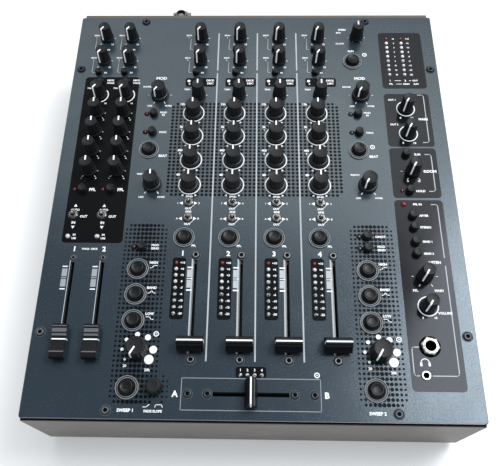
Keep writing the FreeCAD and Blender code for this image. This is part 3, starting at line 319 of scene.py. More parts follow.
lens_white = resin("lens_white", (0.3, 0.31, 0.3), (0.9, 0.91, 0.88), 3.0)
lens_bright = resin("lens_bright", (0.7, 0.72, 0.7), (0.94, 0.95, 0.93))
lens_green = resin("lens_green", (0.02, 0.026, 0.023), (0.6, 0.64, 0.61), 4.5)
lens_red = resin("lens_red", (0.07, 0.006, 0.009), (0.25, 0.026, 0.034))
lens_wine = resin("lens_wine", (0.02, 0.003, 0.004), (0.1, 0.011, 0.016))
lens_smoke = resin("lens_smoke", (0.02, 0.021, 0.022), (0.09, 0.092, 0.095))
collar_clear = coated("collar_clear", (0.02, 0.024, 0.028), (0.026, 0.031, 0.036), 0.42, 900, 0.02,
                      Alpha=0.82)
# The collar rims are lighter grey: a painted highlight.
collar_rim = coated("collar_rim", (0.23, 0.243, 0.256), (0.3, 0.317, 0.334), 0.42, 900, 0.02)

floor_finish, shader, place = finish("studio_floor", Emission_Color=rgb(1, 1, 1), Emission_Strength=0.2)
mixed(noise(place, 1.5, 3), rgb(0.8, 0.8, 0.8), rgb(0.86, 0.86, 0.86)).into(shader, "Base Color")
(noise(place, 4, 2) * 0.1 + 0.6).into(shader, "Roughness")
floor.data.materials.append(floor_finish)
print("all finishes", len(bpy.data.materials))

# %% [markdown]
# ## The CAD parts that stay
# The panel, the crossfader plate, the folded case with what is inside it, the mains inlet and the lamp
# socket already have the right shape, so they keep their own mesh and only take a finish.

# %% Dress the CAD parts
dressed = {"top_panel": slate_paint, "crossfader_plate": slate_paint, "base_tray": case_paint,
           "rear_panel": case_paint, "rubber_feet": foot_rubber, "control_board": board_laminate,
           "fader_bodies": dust_shield_and_shade, "power_supply": inner_steel, "mains_inlet": socket_black,
           "lamp_socket": worn_steel}
for name, material in dressed.items():
    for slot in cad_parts[name].material_slots:
        slot.material = material
print("dressed", len(dressed), "CAD parts")

# %% [markdown]
# ## Turned shapes
# Knobs, buttons, lenses, screws and socket rims are all round. A lathe is the plainest way to make them: a
# list of radius and height, swept round the axis. A ring can be marked as a hexagon, which gives nuts and
# key sockets, or carry a grip weight, which the flute nodes below read. Spin would do the same, but it
# leaves a seam to merge.

# %% The lathe
def finished(name, made, angle=35):
    mesh = bpy.data.meshes.new(name)
    made.to_mesh(mesh)
    made.free()
    mesh.shade_smooth()
    mesh.set_sharp_from_angle(angle=math.radians(angle))
    return mesh


def turned(name, profile, segments=32, closed=False):
    """profile runs from the top down the outside: (radius, height), and "hex" or a grip weight."""
    made = bmesh.new()
    grip = made.verts.layers.float.new("grip")
    rings = []
    for radius, height, *note in profile:
        ring = []
        for step in range(segments if radius else 1):
            turn = 2 * math.pi * step / segments
            reach = radius
            if "hex" in note:
                reach /= math.cos((turn + math.pi / 6) % (math.pi / 3) - math.pi / 6)
            corner = made.verts.new((reach * math.cos(turn) * MM, reach * math.sin(turn) * MM, height * MM))
            corner[grip] = note[0] if note and note[0] != "hex" else 0.0
            ring.append(corner)
        rings.append(ring)
    for upper, lower in list(zip(rings, rings[1:])) + ([(rings[-1], rings[0])] if closed else []):
        for step in range(segments):
            after = (step + 1) % segments
            made.faces.new(dict.fromkeys((upper[step % len(upper)], lower[step % len(lower)],
                                          lower[after % len(lower)], upper[after % len(upper)])))
    return finished(name, made)


def hoop(name, profile, segments):
    """A turned shape with a hole through its middle, so its profile runs back to its start."""
    return turned(name, profile, segments, closed=True)


def skinned(name, made, rings, bright=(), angle=35, split=False):
    """Closes a row of rings to a solid. The faces numbered in bright take the second finish.

    split cuts the ends into triangles, which a hollow outline needs.
    """
    for first, second in zip(rings, rings[1:]):
        for number in range(len(first)):
            after = (number + 1) % len(first)
            face = made.faces.new((first[number], first[after], second[after], second[number]))
            face.material_index = 1 if number in bright else 0
    for ring in (rings[0], rings[-1]):
        made.faces.new(ring)
    bmesh.ops.recalc_face_normals(made, faces=made.faces)
    if split:
        bmesh.ops.triangulate(made, faces=[face for face in made.faces if len(face.verts) > 4])
    return finished(name, made, angle)


def on_circle(x, y, radius, degrees):
    return x + radius * math.cos(math.radians(degrees)), y + radius * math.sin(math.radians(degrees))


def rounded(left, low, right, high, radius, inset=0.0):
    """The outline of a rectangle with round corners, drawn in by inset."""
    middles = ((right - radius, high - radius), (left + radius, high - radius), (left + radius, low + radius),
               (right - radius, low + radius))
    return [on_circle(x, y, radius - inset, 90 * quarter + turn)
            for quarter, (x, y) in enumerate(middles) for turn in range(0, 91, 15)]


def piece(name, mesh, body="chassis", slot=None, replaces=(), finishes=()):
    thing = bpy.data.objects.new(name, mesh)
    scene.collection.objects.link(thing)
    for material in finishes:
        mesh.materials.append(material)
    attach(thing, body)
    if replaces:
        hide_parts(*replaces)


print("lathe ready")

# %% [markdown]
# ## Flutes by rule
# A knob's grip is a ring of equal flutes. They could be cut one by one with booleans, which is slow and
# leaves poor edges. A small tree moves the points of the turned knob inwards instead: a cosine round the
# axis gives the flutes, and the grip weight fades them out towards the rim and the skirt. A flute never
# falls under the pointer, because the cosine has a crest there.

# %% Geometry Nodes helpers and the flute tree
FLUTE_SHARPNESS, SMALLEST_REACH = 1.4, 0.0001


def new_tree(name, sizes):
    tree = bpy.data.node_groups.new(name, "GeometryNodeTree")
    for side in ("OUTPUT", "INPUT"):
        tree.interface.new_socket("Geometry", in_out=side, socket_type="NodeSocketGeometry")
    for label, kind in sizes.items():
        tree.interface.new_socket(label, in_out="INPUT", socket_type="NodeSocket" + kind)
    source, end = tree.nodes.new("NodeGroupInput"), tree.nodes.new("NodeGroupOutput")
    return tree, [Wire(tree, source.outputs[label]) for label in ("Geometry", *sizes)], end


def grow(name, mesh, tree, **settings):
    """Runs a tree on a mesh and returns the plain mesh that it gives."""
    seed = bpy.data.objects.new(name, mesh)
    scene.collection.objects.link(seed)
    modifier = seed.modifiers.new("nodes", "NODES")
    modifier.node_group = tree
    for item in tree.interface.items_tree:
        if item.in_out == "INPUT" and item.name in settings:
            modifier[item.identifier] = settings[item.name]
    made = bpy.data.meshes.new_from_object(seed.evaluated_get(bpy.context.evaluated_depsgraph_get()))
    bpy.data.objects.remove(seed)
    made.name = name
    return made


def parts_of(vector):
    return [vector.node("ShaderNodeSeparateXYZ", None, {0: vector}, out=axis) for axis in range(3)]


def vector_of(x, y, z):
    wire = next(value for value in (x, y, z) if isinstance(value, Wire))
    return wire.node("ShaderNodeCombineXYZ", None, {0: x, 1: y, 2: z})


def attribute(wire, name):
    return wire.node("GeometryNodeInputNamedAttribute", {"data_type": "FLOAT"}, {"Name": name})


flute_tree, (shape, flutes, depth), end = new_tree("cut_flutes", {"Flutes": "Int", "Depth": "Float"})
x, y, z = parts_of(shape.node("GeometryNodeInputPosition"))
wave = (1 - (y.math("ARCTAN2", x) * flutes).math("COSINE")) / 2
reach = (x * x + y * y).math("SQRT").math("MAXIMUM", SMALLEST_REACH)
shrink = 1 - wave ** FLUTE_SHARPNESS * attribute(shape, "grip") * depth / reach
moved = vector_of(x * shrink, y * shrink, z)
shape.node("GeometryNodeSetPosition", None, {"Geometry": shape, "Position": moved}).into(end, 0)
print("tree", flute_tree.name, len(flute_tree.nodes), "nodes")

# %% [markdown]
# ## Knobs
# Four kinds of soft-touch knob stand on the desk. The slim ones have a tall fluted grip on a thin base ring,
# the equaliser and filter ones a wide skirt, the two sweep knobs are low and broad, and the curve knob is a
# small lobed one. Each has a dished top, and all but the last a white pointer moulded in, which runs over the
# rim and down the grip. Below is the shaft.

# %% Knob shapes
SHAFT = [(3.0, 0.8), (3.0, -11.4), (0, -11.4)]
STEPS_PER_FLUTE = 8
POINTER_WIDTH, POINTER_RISE, POINTER_SINK = 1.15, 0.25, 0.4
TO_RIGHT, TO_FRONT, TO_TOP = (1, 0, 0), (0, -1, 0), (0, 0, 1)
KNOBS = {
    "slim": dict(flutes=12, depth=0.55, pointer_from=0.9, pointer_foot=3.3, profile=[
        (0, 15.6), (2.6, 15.65), (3.5, 15.85), (4.0, 16.0), (4.45, 15.9), (4.72, 15.6), (4.85, 15.1, 0.35),
        (4.93, 14.3, 0.9), (5.05, 12.6, 1), (5.55, 4.4, 1), (5.6, 3.5, 0.8), (5.64, 2.9, 0), (5.95, 2.65),
        (6.0, 2.4), (6.0, 1.1), (5.8, 0.8)]),
    "skirted": dict(flutes=12, depth=0.42, pointer_from=2.0, pointer_foot=4.8, profile=[
        (0, 13.6), (3.6, 13.65), (4.8, 13.85), (5.3, 14.0), (5.6, 13.9), (5.8, 13.6), (5.88, 13.1, 0.35),
        (5.92, 12.4, 0.9), (5.98, 11, 1), (6.3, 5.4, 1), (6.34, 4.4, 0.7), (6.38, 3.9, 0), (6.38, 3.3)]),
    "wide": dict(flutes=16, depth=0.6, pointer_from=0.9, pointer_foot=2.6, profile=[
        (0, 11.2), (4.6, 11.2), (5.5, 11.35), (6.1, 11.5), (6.6, 11.35), (6.9, 11.0, 0.4), (7.08, 10.4, 0.9),
        (7.2, 9.6, 1), (7.62, 3.2, 1), (7.66, 2.4, 0.6), (7.7, 1.9, 0), (7.8, 1.5), (7.8, 1.1), (7.6, 0.8)]),
    "curve": dict(flutes=12, depth=0.95, pointer_from=None, pointer_foot=None, profile=[
        (0, 8.3), (3.2, 8.35), (4.0, 8.5), (4.7, 8.3), (5.25, 7.9, 0.5), (5.55, 7.2, 1), (5.75, 3.2, 1),
        (5.85, 2.0, 0.6), (5.9, 1.4, 0), (5.9, 1.0), (5.7, 0.8)]),
}
SKIRT = [(5.4, 3.6), (6.5, 3.6), (7.0, 3.42), (7.35, 3.0), (7.55, 2.4), (7.6, 2.0), (7.6, 1.1), (7.4, 0.8),
         (5.4, 0.8)]


def ribbon(name, path, side, width, rise, sink):
    """A flat bar along a path of points, proud of the surface by rise and let into it by sink."""
    made, side, loops = bmesh.new(), Vector(side), []
    points = [Vector(point) for point in path]
    for number, point in enumerate(points):
        along = (points[min(number + 1, len(points) - 1)] - points[max(number - 1, 0)]).normalized()
        out = side.cross(along)
        loops.append([made.verts.new((point + side * across * width / 2 + out * up) * MM)
                      for across, up in ((-1, -sink), (1, -sink), (1, rise), (-1, rise))])
    return skinned(name, made, loops)


knob_shapes = {}
for kind, knob in KNOBS.items():
    profile = knob["profile"]
    grip = grow(f"{kind}_grip", turned(kind, profile + SHAFT, knob["flutes"] * STEPS_PER_FLUTE), flute_tree,
                Flutes=knob["flutes"], Depth=knob["depth"] * MM)
    parts = [(grip, soft_black)]
    if knob["pointer_foot"]:
        path = [(0, knob["pointer_from"], profile[0][1])]
        path += [(0, radius, height) for radius, height, *_ in profile[1:] if height > knob["pointer_foot"]]
        pointer = ribbon(f"{kind}_pointer", path, TO_RIGHT, POINTER_WIDTH, POINTER_RISE, POINTER_SINK)
        parts.append((pointer, pointer_white))
    if kind == "skirted":
        parts.append((hoop("skirt", SKIRT, 64), skirt_black))
    knob_shapes[kind] = parts
    print(kind, "knob", len(grip.polygons), "faces")

# %% [markdown]
# ## One knob for each shaft
# Nineteen knobs turn on their own, so each is a piece that rides on its own body. The CAD knob says where
# the axis is, and which way the pointer rests is part of the layout: up, or at the lower left stop.

# %% Knobs that turn
UP, LOW = 0.0, math.radians(150)


def joined(name, parts):
    """One mesh of several, each with its place and the number of its finish, or None to keep its own."""
    made = bmesh.new()
    for mesh, matrix, number in parts:
        copy = mesh.copy()
        copy.transform(matrix)
        before = len(made.faces)
        made.from_mesh(copy)
        made.faces.ensure_lookup_table()
        for face in made.faces[before:] if number is not None else ():
            face.material_index = number
        bpy.data.meshes.remove(copy)
    whole = bpy.data.meshes.new(name)
    made.to_mesh(whole)
    made.free()
    return whole


turning = {"skirted": {"filter_1_depth_knob": LOW, "filter_2_depth_knob": LOW, "filter_1_resonance_knob": UP,
                       "filter_2_resonance_knob": LOW},
           "wide": {"filter_1_frequency_knob": LOW, "filter_2_frequency_knob": LOW},
           "curve": {"curve_knob": UP},
           "slim": {"tempo_knob": UP, "mix_1_knob": LOW, "mix_2_knob": LOW, "booth_knob": LOW,
                    "monitor_knob": LOW, "phones_knob": LOW, "channel_1_level_knob": UP,
                    "channel_2_level_knob": UP, "channel_3_level_knob": UP, "channel_4_level_knob": UP,
                    "mic_1_level_knob": LOW, "mic_2_level_knob": LOW}}
for kind, names in turning.items():
    for name, rest in names.items():
        low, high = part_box(name)
        place = Matrix.Translation(((low.x + high.x) / 2, (low.y + high.y) / 2, PANEL.z))
        place @= Matrix.Rotation(rest, 4, "Z")
        meshes, coats = zip(*knob_shapes[kind])
        piece(name + "_cap", joined(name, [(mesh, place, number) for number, mesh in enumerate(meshes)]),
              name, "knob_black", [name], coats)
print("turning knobs", sum(map(len, turning.values())))

# %% [markdown]
# ## Shapes laid on spots
# Everything else on the panel comes in rows: lamps, buttons, collars, screws, nuts. One tree lays a shape on
# a list of spots, turned and sized by each spot's own values, then makes the copies real and gives them their
# finish. Copies made in Python would do, but the tree keeps the list and the shape apart. The panel's columns
# and rows are named once here, and the printing uses them too.

# %% The spot tree
spot_tree, (spots, shape, facing, coat), end = new_tree(
    "lay_on_spots", {"Shape": "Object", "Facing": "Vector", "Finish": "Material"})
source = shape.node("GeometryNodeObjectInfo", None, {"Object": shape}, out="Geometry")
angle = facing.node("ShaderNodeVectorMath", {"operation": "ADD"},
                    {0: facing, 1: vector_of(0.0, 0.0, attribute(spots, "turn"))})
laid = spots.node("GeometryNodeInstanceOnPoints", None, {
    "Points": spots, "Instance": source, "Scale": attribute(spots, "size"),
    "Rotation": angle.node("FunctionNodeEulerToRotation", None, {"Euler": angle})})
real = laid.node("GeometryNodeRealizeInstances", None, {"Geometry": laid})
real.node("GeometryNodeSetMaterial", None, {"Geometry": real, "Material": coat}).into(end, 0)


def at(x, y, z=0.0):
    return PANEL + Vector((x, y, z)) * MM


def lay(name, mesh, places, coat, turn=0.0, size=1.0, facing=(0, 0, 0), **riding):
    """Makes one piece of a mesh laid on all places, which are points of the frame."""
    points = bpy.data.meshes.new(name + "_spots")
    points.from_pydata(places, [], [])
    for label, value in (("turn", turn), ("size", size)):
        points.attributes.new(label, "FLOAT", "POINT").data.foreach_set("value", [value] * len(places))
    template = bpy.data.objects.new(name + "_shape", mesh)
    made = grow(name, points, spot_tree, Shape=template, Facing=facing, Finish=coat)
    bpy.data.objects.remove(template)
    print(name, len(places), "spots,", len(made.polygons), "faces")
    piece(name, made, **riding)


CHANNELS = [-51.5 + 34.8 * number for number in range(4)]
MICS = [-134.1, -111.3]
FILTERS = [-81.7, 91.3]
FADERS, MIC_FADERS = [c + 7.9 for c in CHANNELS], [m - 3.1 for m in MICS]
CROSS_X, CROSS_Y, FADER_Y = -0.4, -163.3, -128.9
SEND_ROWS, EQ_ROWS, TOGGLE_ROWS = (156, 130), (73.5, 50.1, 26.7, 3.3), (-12.6, -26.3)
MIC_EQ_ROWS = [73.1 - 19.1 * row for row in range(4)]
METER_ROWS = [-64.8 - 5.05 * row for row in range(9)]
MASTER_ROWS = [155.2 - 5.05 * row for row in range(9)]
MASTER_X, LEFT_METER, RIGHT_METER = 128.3, 117.8, 130.9
SWITCH_ROWS, EXTRA_SWITCH = (72.4, 53.8, -52.0), -42.0
LAMP_SHIFT, SWITCH_SHIFT, DOME_SHIFT = 9.7, 3.7, 5.2
PHONES, MINI_PHONES = (126.2, -128), (121.4, -148.6)
aux_columns = [c + 3.5 for c in CHANNELS] + MICS
aux_places = [at(x, y) for y in SEND_ROWS for x in aux_columns]
eq_places = [at(x, y) for y in EQ_ROWS for x in CHANNELS]
mic_eq_places = [at(x, y) for y in MIC_EQ_ROWS for x in MICS]
for name, places, kind, rest, stands_for in (
        ("aux_knob", aux_places, "slim", LOW, ["aux_knobs"]),
        ("eq_knob", eq_places, "skirted", UP, ["eq_knobs"]),
        ("mic_eq_knob", mic_eq_places, "slim", UP, [])):
    for label, (mesh, coat) in zip(("grips", "pointers", "skirts"), knob_shapes[kind]):
        lay(f"{name}_{label}", mesh, places, coat, turn=rest, slot="knob_black",
            replaces=stands_for if label == "grips" else [])

# %% [markdown]
# ## Push buttons and their clear collars
# Small black buttons switch the sends and the sources. Slightly wider ones, most with a lamp beside them,
# switch the functions, and domed ones the filters, the cue and the tap. They are turned like the knobs, with
# a dished top and a thin plunger below. The buttons of one bank ride on one body. A domed button stands in a
# clear collar.

# %% Buttons
PLUNGER = [(1.5, -0.8), (1.5, -10.4), (0, -10.4)]
small_button = turned("small_button", [
    (0, 3.9), (1.2, 3.92), (1.9, 4.05), (2.35, 4.2), (2.68, 4.08), (2.85, 3.8), (2.9, 3.3),
    (2.9, -0.6)] + PLUNGER, 28)
lamp_button = turned("lamp_button", [
    (0, 4.7), (2.0, 4.74), (2.4, 4.9), (2.75, 4.88), (3.05, 4.6), (3.3, 3.9), (3.46, 2.9), (3.5, 2.0),
    (3.5, -0.6)] + PLUNGER, 32)
dome_button = turned("dome_button", [
    (0, 4.4), (2.0, 4.45), (3.1, 4.62), (3.75, 4.92), (4.1, 5.0), (4.5, 4.9), (4.95, 4.45), (5.45, 3.5),
    (5.8, 2.4), (5.96, 1.6), (6.0, 1.0), (6.0, -0.6)] + PLUNGER, 48)
collar = hoop("collar", [
    (6.5, 0.7), (6.8, 0.9), (7.72, 0.9), (7.72, 0.03), (7.2, 0.03), (7.2, -1.9), (6.35, -1.9)], 48)
collar_edge = hoop("collar_edge", [
    (7.7, 1.1), (7.85, 1.3), (8.1, 1.3), (8.28, 1.05), (8.35, 0.6), (8.35, 0.03), (7.7, 0.03)], 64)
collar_lip = hoop("collar_lip", [(6.35, 1.05), (6.5, 1.3), (6.72, 1.3), (6.9, 1.05), (6.35, 0.7)], 64)
select_places = [at(x, y - 13.5) for y in SEND_ROWS for x in CHANNELS + [m - 3.5 for m in MICS]]
select_places += [at(x, 106) for x in aux_columns]
lamp_places = [at(m - 3.3, -1.7) for m in MICS]
lamp_places += [at(x - SWITCH_SHIFT, y) for x in FILTERS for y in SWITCH_ROWS]
lamp_places += [at(FILTERS[1] - SWITCH_SHIFT, EXTRA_SWITCH)]
lamp_places += [at(124.4, y) for y in (32.8, -1.3, -23.6, -33.7, -45.9, -55.9)]
filter_places = [at(x - DOME_SHIFT, y) for x in FILTERS for y in (-70.4, -90.7, -111.0, -159.5)]
cue_places = [at(c - 1.9, -43.8) for c in CHANNELS]
tap_places = [at(x - DOME_SHIFT, y) for x, y in ((FILTERS[0], 36.2), (FILTERS[1], 36.2), (FILTERS[1], 129.1))]
for bank, mesh, places in (
        ("select_buttons", small_button, select_places), ("lamp_buttons", lamp_button, lamp_places),
        ("filter_buttons", dome_button, filter_places), ("channel_cue_buttons", dome_button, cue_places),
        ("tap_buttons", dome_button, tap_places)):
    lay(bank[:-1] + "_caps", mesh, places, soft_black if mesh is lamp_button else button_black, body=bank,
        slot="button_black", replaces=[bank])
collar_places = filter_places + cue_places + tap_places
lay("clear_collars", collar, collar_places, collar_clear, slot="collar_clear", replaces=["button_collars"])
# The edges and lips are lighter rings, painted highlights on the collar's rims.
lay("collar_edges", collar_edge, collar_places, collar_rim, slot="collar_clear")
lay("collar_lips", collar_lip, collar_places, collar_rim, slot="collar_clear")

# %% [markdown]
# ## Lamps
# Each lamp is a cast dome that shows a millimetre above the panel. The top of every meter is red. Below it
# the master meter is bright and then milky, and the channel meters are milky and then clear over a dark
# heart. The single lamps are deep red, but smoky in the right filter's column and milky over the microphone
# faders.

# %% Lamp lenses
lens = turned("lens", [
    (0, 1.3), (0.5, 1.24), (0.95, 1.02), (1.28, 0.65), (1.46, 0.2), (1.5, -0.2), (1.5, -1.6), (0, -1.6)], 20)


def meter_spots(rows, master_rows=()):
    """The lamps of these rows, counted from the top, in the channel meters and in the master meter."""
    return ([at(c - 6.3, METER_ROWS[row]) for c in CHANNELS for row in rows]
            + [at(x, MASTER_ROWS[row]) for x in (LEFT_METER, RIGHT_METER) for row in master_rows])


cross_lamps = [at(-8 + 5 * number, -149.8) for number in range(4)]
single_lamps = [at(m - 9.8, -1.7) for m in MICS] + [at(118.2, -1.3)]
single_lamps += [at(FILTERS[0] - LAMP_SHIFT, y) for y in SWITCH_ROWS]
smoky_lamps = [at(FILTERS[1] - LAMP_SHIFT, y) for y in (*SWITCH_ROWS[:2], EXTRA_SWITCH, SWITCH_ROWS[2])]
for name, places, coat, size in (
        ("red", meter_spots([0], [0]), lens_red, 1),
        ("wine", single_lamps, lens_wine, 1.15),
        ("milky", meter_spots(range(1, 4), range(5, 9)), lens_white, 1),
        ("bright", meter_spots([], range(1, 5)), lens_bright, 1),
        ("green", meter_spots(range(4, 9)) + cross_lamps, lens_green, 1),
        ("smoky", smoky_lamps, lens_smoke, 1),
        ("mic", [at(m - 9.8, -43.3) for m in MICS], lens_white, 1.3)):
    lay(f"{name}_lenses", lens, places, coat, size=size, slot="lens_clear",
        replaces=["led_lenses"] if name == "red" else [])
lay("cue_lens", lens, [at(118.2, -13.6)], lens_red, size=1.55, slot="lens_clear")

# %% [markdown]
# ## Screws, nuts and bushings
# Twenty-four socket screws hold the panel and the faders, each in a thin grey ring, a painted highlight where
# the edge of the screw's recess catches the light. Those at the front and on the faders are greyer than the
# ones at the far edge, whose heads are black: painted light on the near screws and painted shade on the far
# ones. Each key socket is near black, a painted shade in its recess. The toggles stand in threaded bushings,
# each held by a thin nut. A hexagon ring in the lathe's list makes the key socket and the nut, and the round
# ring above it makes the nut's chamfer.

# %% Fasteners
SCREW_TURN, NUT_TURN, JACK_TURN = 0.3, 0.2, 0.31
CORNER_SCREWS = ((-100.2, 175.2), (100.2, 175.2), (-153.7, 120.3), (153.7, 120.3))
screw = hoop("screw", [(2.4, 1.45), (2.8, 1.36), (3.12, 1.02), (3.28, 0.55), (3.3, 0.02), (2.4, 0.02)], 24)
screw_land = hoop("screw_land", [
    (1.35, 1.3, "hex"), (1.6, 1.43), (2.1, 1.48), (2.4, 1.42), (2.4, 0.9), (1.35, 0.9, "hex")], 24)
# The key socket is near black, a painted shade in the recess.
screw_key = turned("screw_key", [
    (0, 0.5), (1.32, 0.5, "hex"), (1.32, 1.3, "hex"), (1.5, 1.3), (1.5, 0.3), (0, 0.3)], 24)
cup = hoop("cup", [(3.4, 0.2), (3.55, 0.42), (3.8, 0.42), (4.0, 0.02), (3.4, 0.02)], 32)


def lay_screws(group, places, head, land, replaces=(), **laid):
    lay(f"{group}_screw_heads", screw, places, head, slot="black_steel", replaces=replaces, **laid)
    lay(f"{group}_screw_lands", screw_land, places, land, slot="black_steel", **laid)
    lay(f"{group}_screw_keys", screw_key, places, bore_black_and_shade, slot="black_steel", **laid)


near_spots, far_spots = ([at(x, side * y) for x, y in CORNER_SCREWS] for side in (-1, 1))
fader_spots = [at(x, y) for x in FADERS for y in (-58.5, -139.3)]
mic_spots = [at(x, y) for x in MIC_FADERS for y in (-61.5, -136.3)]
cross_spots = [at(CROSS_X + x, CROSS_Y) for x in (-44, -30.3, 30.3, 44)]
# Near and fader screws are greyer, far ones darker: painted light and shade. The cups are painted highlight
# rings.
for group, places, size, head, land, ring in (
        ("near", near_spots, 1, screw_paint, cup_highlight_grey, cup_highlight_grey),
        ("far", far_spots, 1, cap_black, screw_paint, screw_paint),
        ("fader", fader_spots, 1, screw_paint, dull_steel, cup_highlight_grey),
        ("mic", mic_spots, 0.72, screw_paint, dull_steel, cup_highlight_grey),
        ("cross", cross_spots, 0.92, screw_paint, screw_paint, cup_highlight_grey)):
    stands_for = ["panel_screws"] if group == "near" else []
    lay_screws(group, places, head, land, stands_for, turn=SCREW_TURN, size=size)
    lay(f"{group}_screw_cups", cup, places, ring, turn=SCREW_TURN, size=size, slot="black_steel")
toggle_nut = hoop("toggle_nut", [
    (2.55, 1.35), (2.7, 1.5), (3.2, 1.5), (3.5, 1.2, "hex"), (3.5, 0.3, "hex"), (2.55, 0.3)], 36)
toggle_washer = hoop("toggle_washer", [(2.55, 0.28), (4.2, 0.28), (4.35, 0.02), (2.55, 0.02)], 36)
bushing = hoop("bushing", [
    (2.1, 1.9), (2.15, 2.1), (2.38, 2.1), (2.5, 1.95), (2.42, 1.8), (2.5, 1.65), (2.5, -2.4),
    (2.1, -2.4)], 36)
toggle_places = [at(c, y) for y in TOGGLE_ROWS for c in CHANNELS] + [at(m - 8.1, -24.5) for m in MICS]
lay("toggle_nuts", toggle_nut, toggle_places, worn_steel, turn=NUT_TURN, slot="plated",
    replaces=["toggle_bushings"])
lay("toggle_threads", bushing, toggle_places, nickel, slot="plated")
lay("toggle_washers", toggle_washer, toggle_places, socket_black, slot="plated")

# %% Toggle levers
PIVOT_DEPTH = 0.5
lever = turned("lever", [
    (0, 5.7), (0.6, 5.58), (1.1, 5.2), (1.42, 4.7), (1.5, 4.2), (1.42, 3.7), (1.24, 2.9), (1.1, 1.7),
    (1.25, 1.4), (1.6, 0.7), (1.75, 0), (1.6, -0.7), (1.2, -1.3), (0, -1.75)], 24)
toggles = [f"channel_{number}_{row}_toggle" for row in ("filter", "side") for number in (1, 2, 3, 4)]
toggles += ["mic_1_toggle", "mic_2_toggle"]
for name, spot in zip(toggles, toggle_places):
    place = Matrix.Translation(spot - Vector((0, 0, PIVOT_DEPTH * MM)))
    piece(name + "_lever", joined(name, [(lever, place, 0)]), name, "plated", [name], [nut_steel])
print("levers", len(toggles))

# %% [markdown]
# ## Fader caps
# A channel cap is a tall wedge with a white line over its ridge, hollowed on both faces for a fingertip. The
# crossfader has a slimmer one. The two on the left are long and low, with treads that rise to the back. The
# tops of some treads, and the ledge under the crossfader cap's ridge, are grey as painted highlights where
# they catch the light. Each is one cross-section pulled to length, with the ends drawn in a little so that no
# edge is razor sharp. Each rides on its metal tongue.

# %% Cap shapes
CAP_INSET, CAP_BEVEL = 0.35, 0.3


def pulled(name, section, length, flare, bright=()):
    """Sweeps a closed (y, z) section along X. The ends flare out below and are drawn in at the edge."""
    made, rings = bmesh.new(), []
    low, high = min(z for _, z in section), max(z for _, z in section)
    for side, inset in ((-1, CAP_INSET), (-1, 0.0), (1, 0.0), (1, CAP_INSET)):
        reach = length / 2 - (0 if inset else CAP_BEVEL)
        rings.append([made.verts.new(Vector((side * (reach + flare * (high - z) / (high - low)),
                                             y - math.copysign(min(inset, abs(y)), y),
                                             z - inset if z > low + 1 else z)) * MM) for y, z in section])
    return skinned(name, made, rings, bright, angle=25, split=True)


def mirrored(half):
    return half + [(-y, z) for y, z in reversed(half)]


def over_cap(name, side, half, width):
    """A line of paint up one end of a cap, over its top and down the other end."""
    path = [(-x, side, z) for x, z in half] + [(x, side, z) for x, z in reversed(half)]
    return ribbon(name, path, TO_FRONT, width, 0.08, 0.3)


wedge = mirrored([(5.6, 4.0), (5.6, 5.0), (5.15, 5.8), (4.4, 7.3), (3.8, 9.1), (3.4, 10.9), (3.25, 11.9),
                  (2.9, 12.15), (2.35, 12.25), (2.2, 13.4), (1.9, 13.95), (1.3, 14.2)])
steps = [(-12.5, 4.0), (-12.4, 8.4), (-12.1, 9.3), (-11.4, 9.75), (-8.5, 9.85), (-7.7, 9.8), (-7.3, 9.4),
         (0, 8.0), (2.5, 8.0), (3.7, 8.5), (5.3, 8.7), (6.2, 9.2), (9.0, 9.4), (9.3, 9.85), (10.1, 10.0),
         (10.8, 10.3), (11.6, 10.3), (12.2, 9.6), (12.5, 4.0)]
wedge_cap = pulled("wedge_cap", wedge, 18.8, 0.5)
slim_cap = pulled("slim_cap", [(y * 0.78, z) for y, z in wedge], 18.8, 0.5, bright=(16,))
step_cap = pulled("step_cap", steps, 10.4, 0.3, bright=(4, 9, 11, 14))
wedge_line = over_cap("wedge_line", 0, [(9.72, 7), (9.44, 13.6), (9.1, 14.2)], 1.15)
step_line = over_cap("step_line", 1.3, [(5.45, 4.2), (5.3, 7.6), (4.9, 8.0)], 0.95)
tongue = ribbon("tongue", [(0, -3, -2.4), (0, 3, -2.4)], TO_RIGHT, 1.2, 6.6, 6.5)
print("caps", len(wedge_cap.polygons), len(step_cap.polygons), "faces")

# %% Slot rails
rail = ribbon("rail", [(0, -36, -0.3), (0, 36, -0.3)], TO_RIGHT, 0.85, 0.0, 0.6)
lay("fader_rails", rail, [at(f - 1.15, -98.9) for f in FADERS], dull_steel, slot="plated")

# %% Caps on their faders
faders = [(f"channel_fader_{number}", at(f, FADER_Y), 0, wedge_cap, wedge_line)
          for number, f in enumerate(FADERS, start=1)]
faders += [(f"mic_fader_{number}", at(f, FADER_Y), 0, step_cap, step_line)
           for number, f in enumerate(MIC_FADERS, start=1)]
faders.append(("crossfader", at(CROSS_X, CROSS_Y), 90, slim_cap, wedge_line))
for name, spot, turn, cap, line in faders:
    place = Matrix.Translation(spot) @ Matrix.Rotation(math.radians(turn), 4, "Z")
    parts = [(cap, place, None), (line, place, 2), (tongue, place, 3)]
    piece(name + "_cap", joined(name, parts), name, "cap_black", [name],
          [cap_black, cap_highlight_grey, white_ink, inner_steel])
print("faders", len(faders))

# %% [markdown]
# ## Printing
# The printing is screen ink on the paint. A picture would be the usual way, but no picture is used here, so
# the ink is geometry: flat shapes laid a few hundredths of a millimetre above the panel, black first and
# white over it. One class gathers the shapes of one ink and makes a single sheet of them. Words come from
# Blender's own font and say only what a dial or a switch of any make says.

# %% The ink sheet
FIELD_LIFT, LINE_LIFT, TOP_LIFT = 0.03, 0.05, 0.06
WORD_SCALE, STROKE, CAPITAL_SHARE = 1.08, 0.055, 0.7


def face_up(mesh):
    for face in mesh.polygons:
        if face.normal.z < 0:
            face.flip()


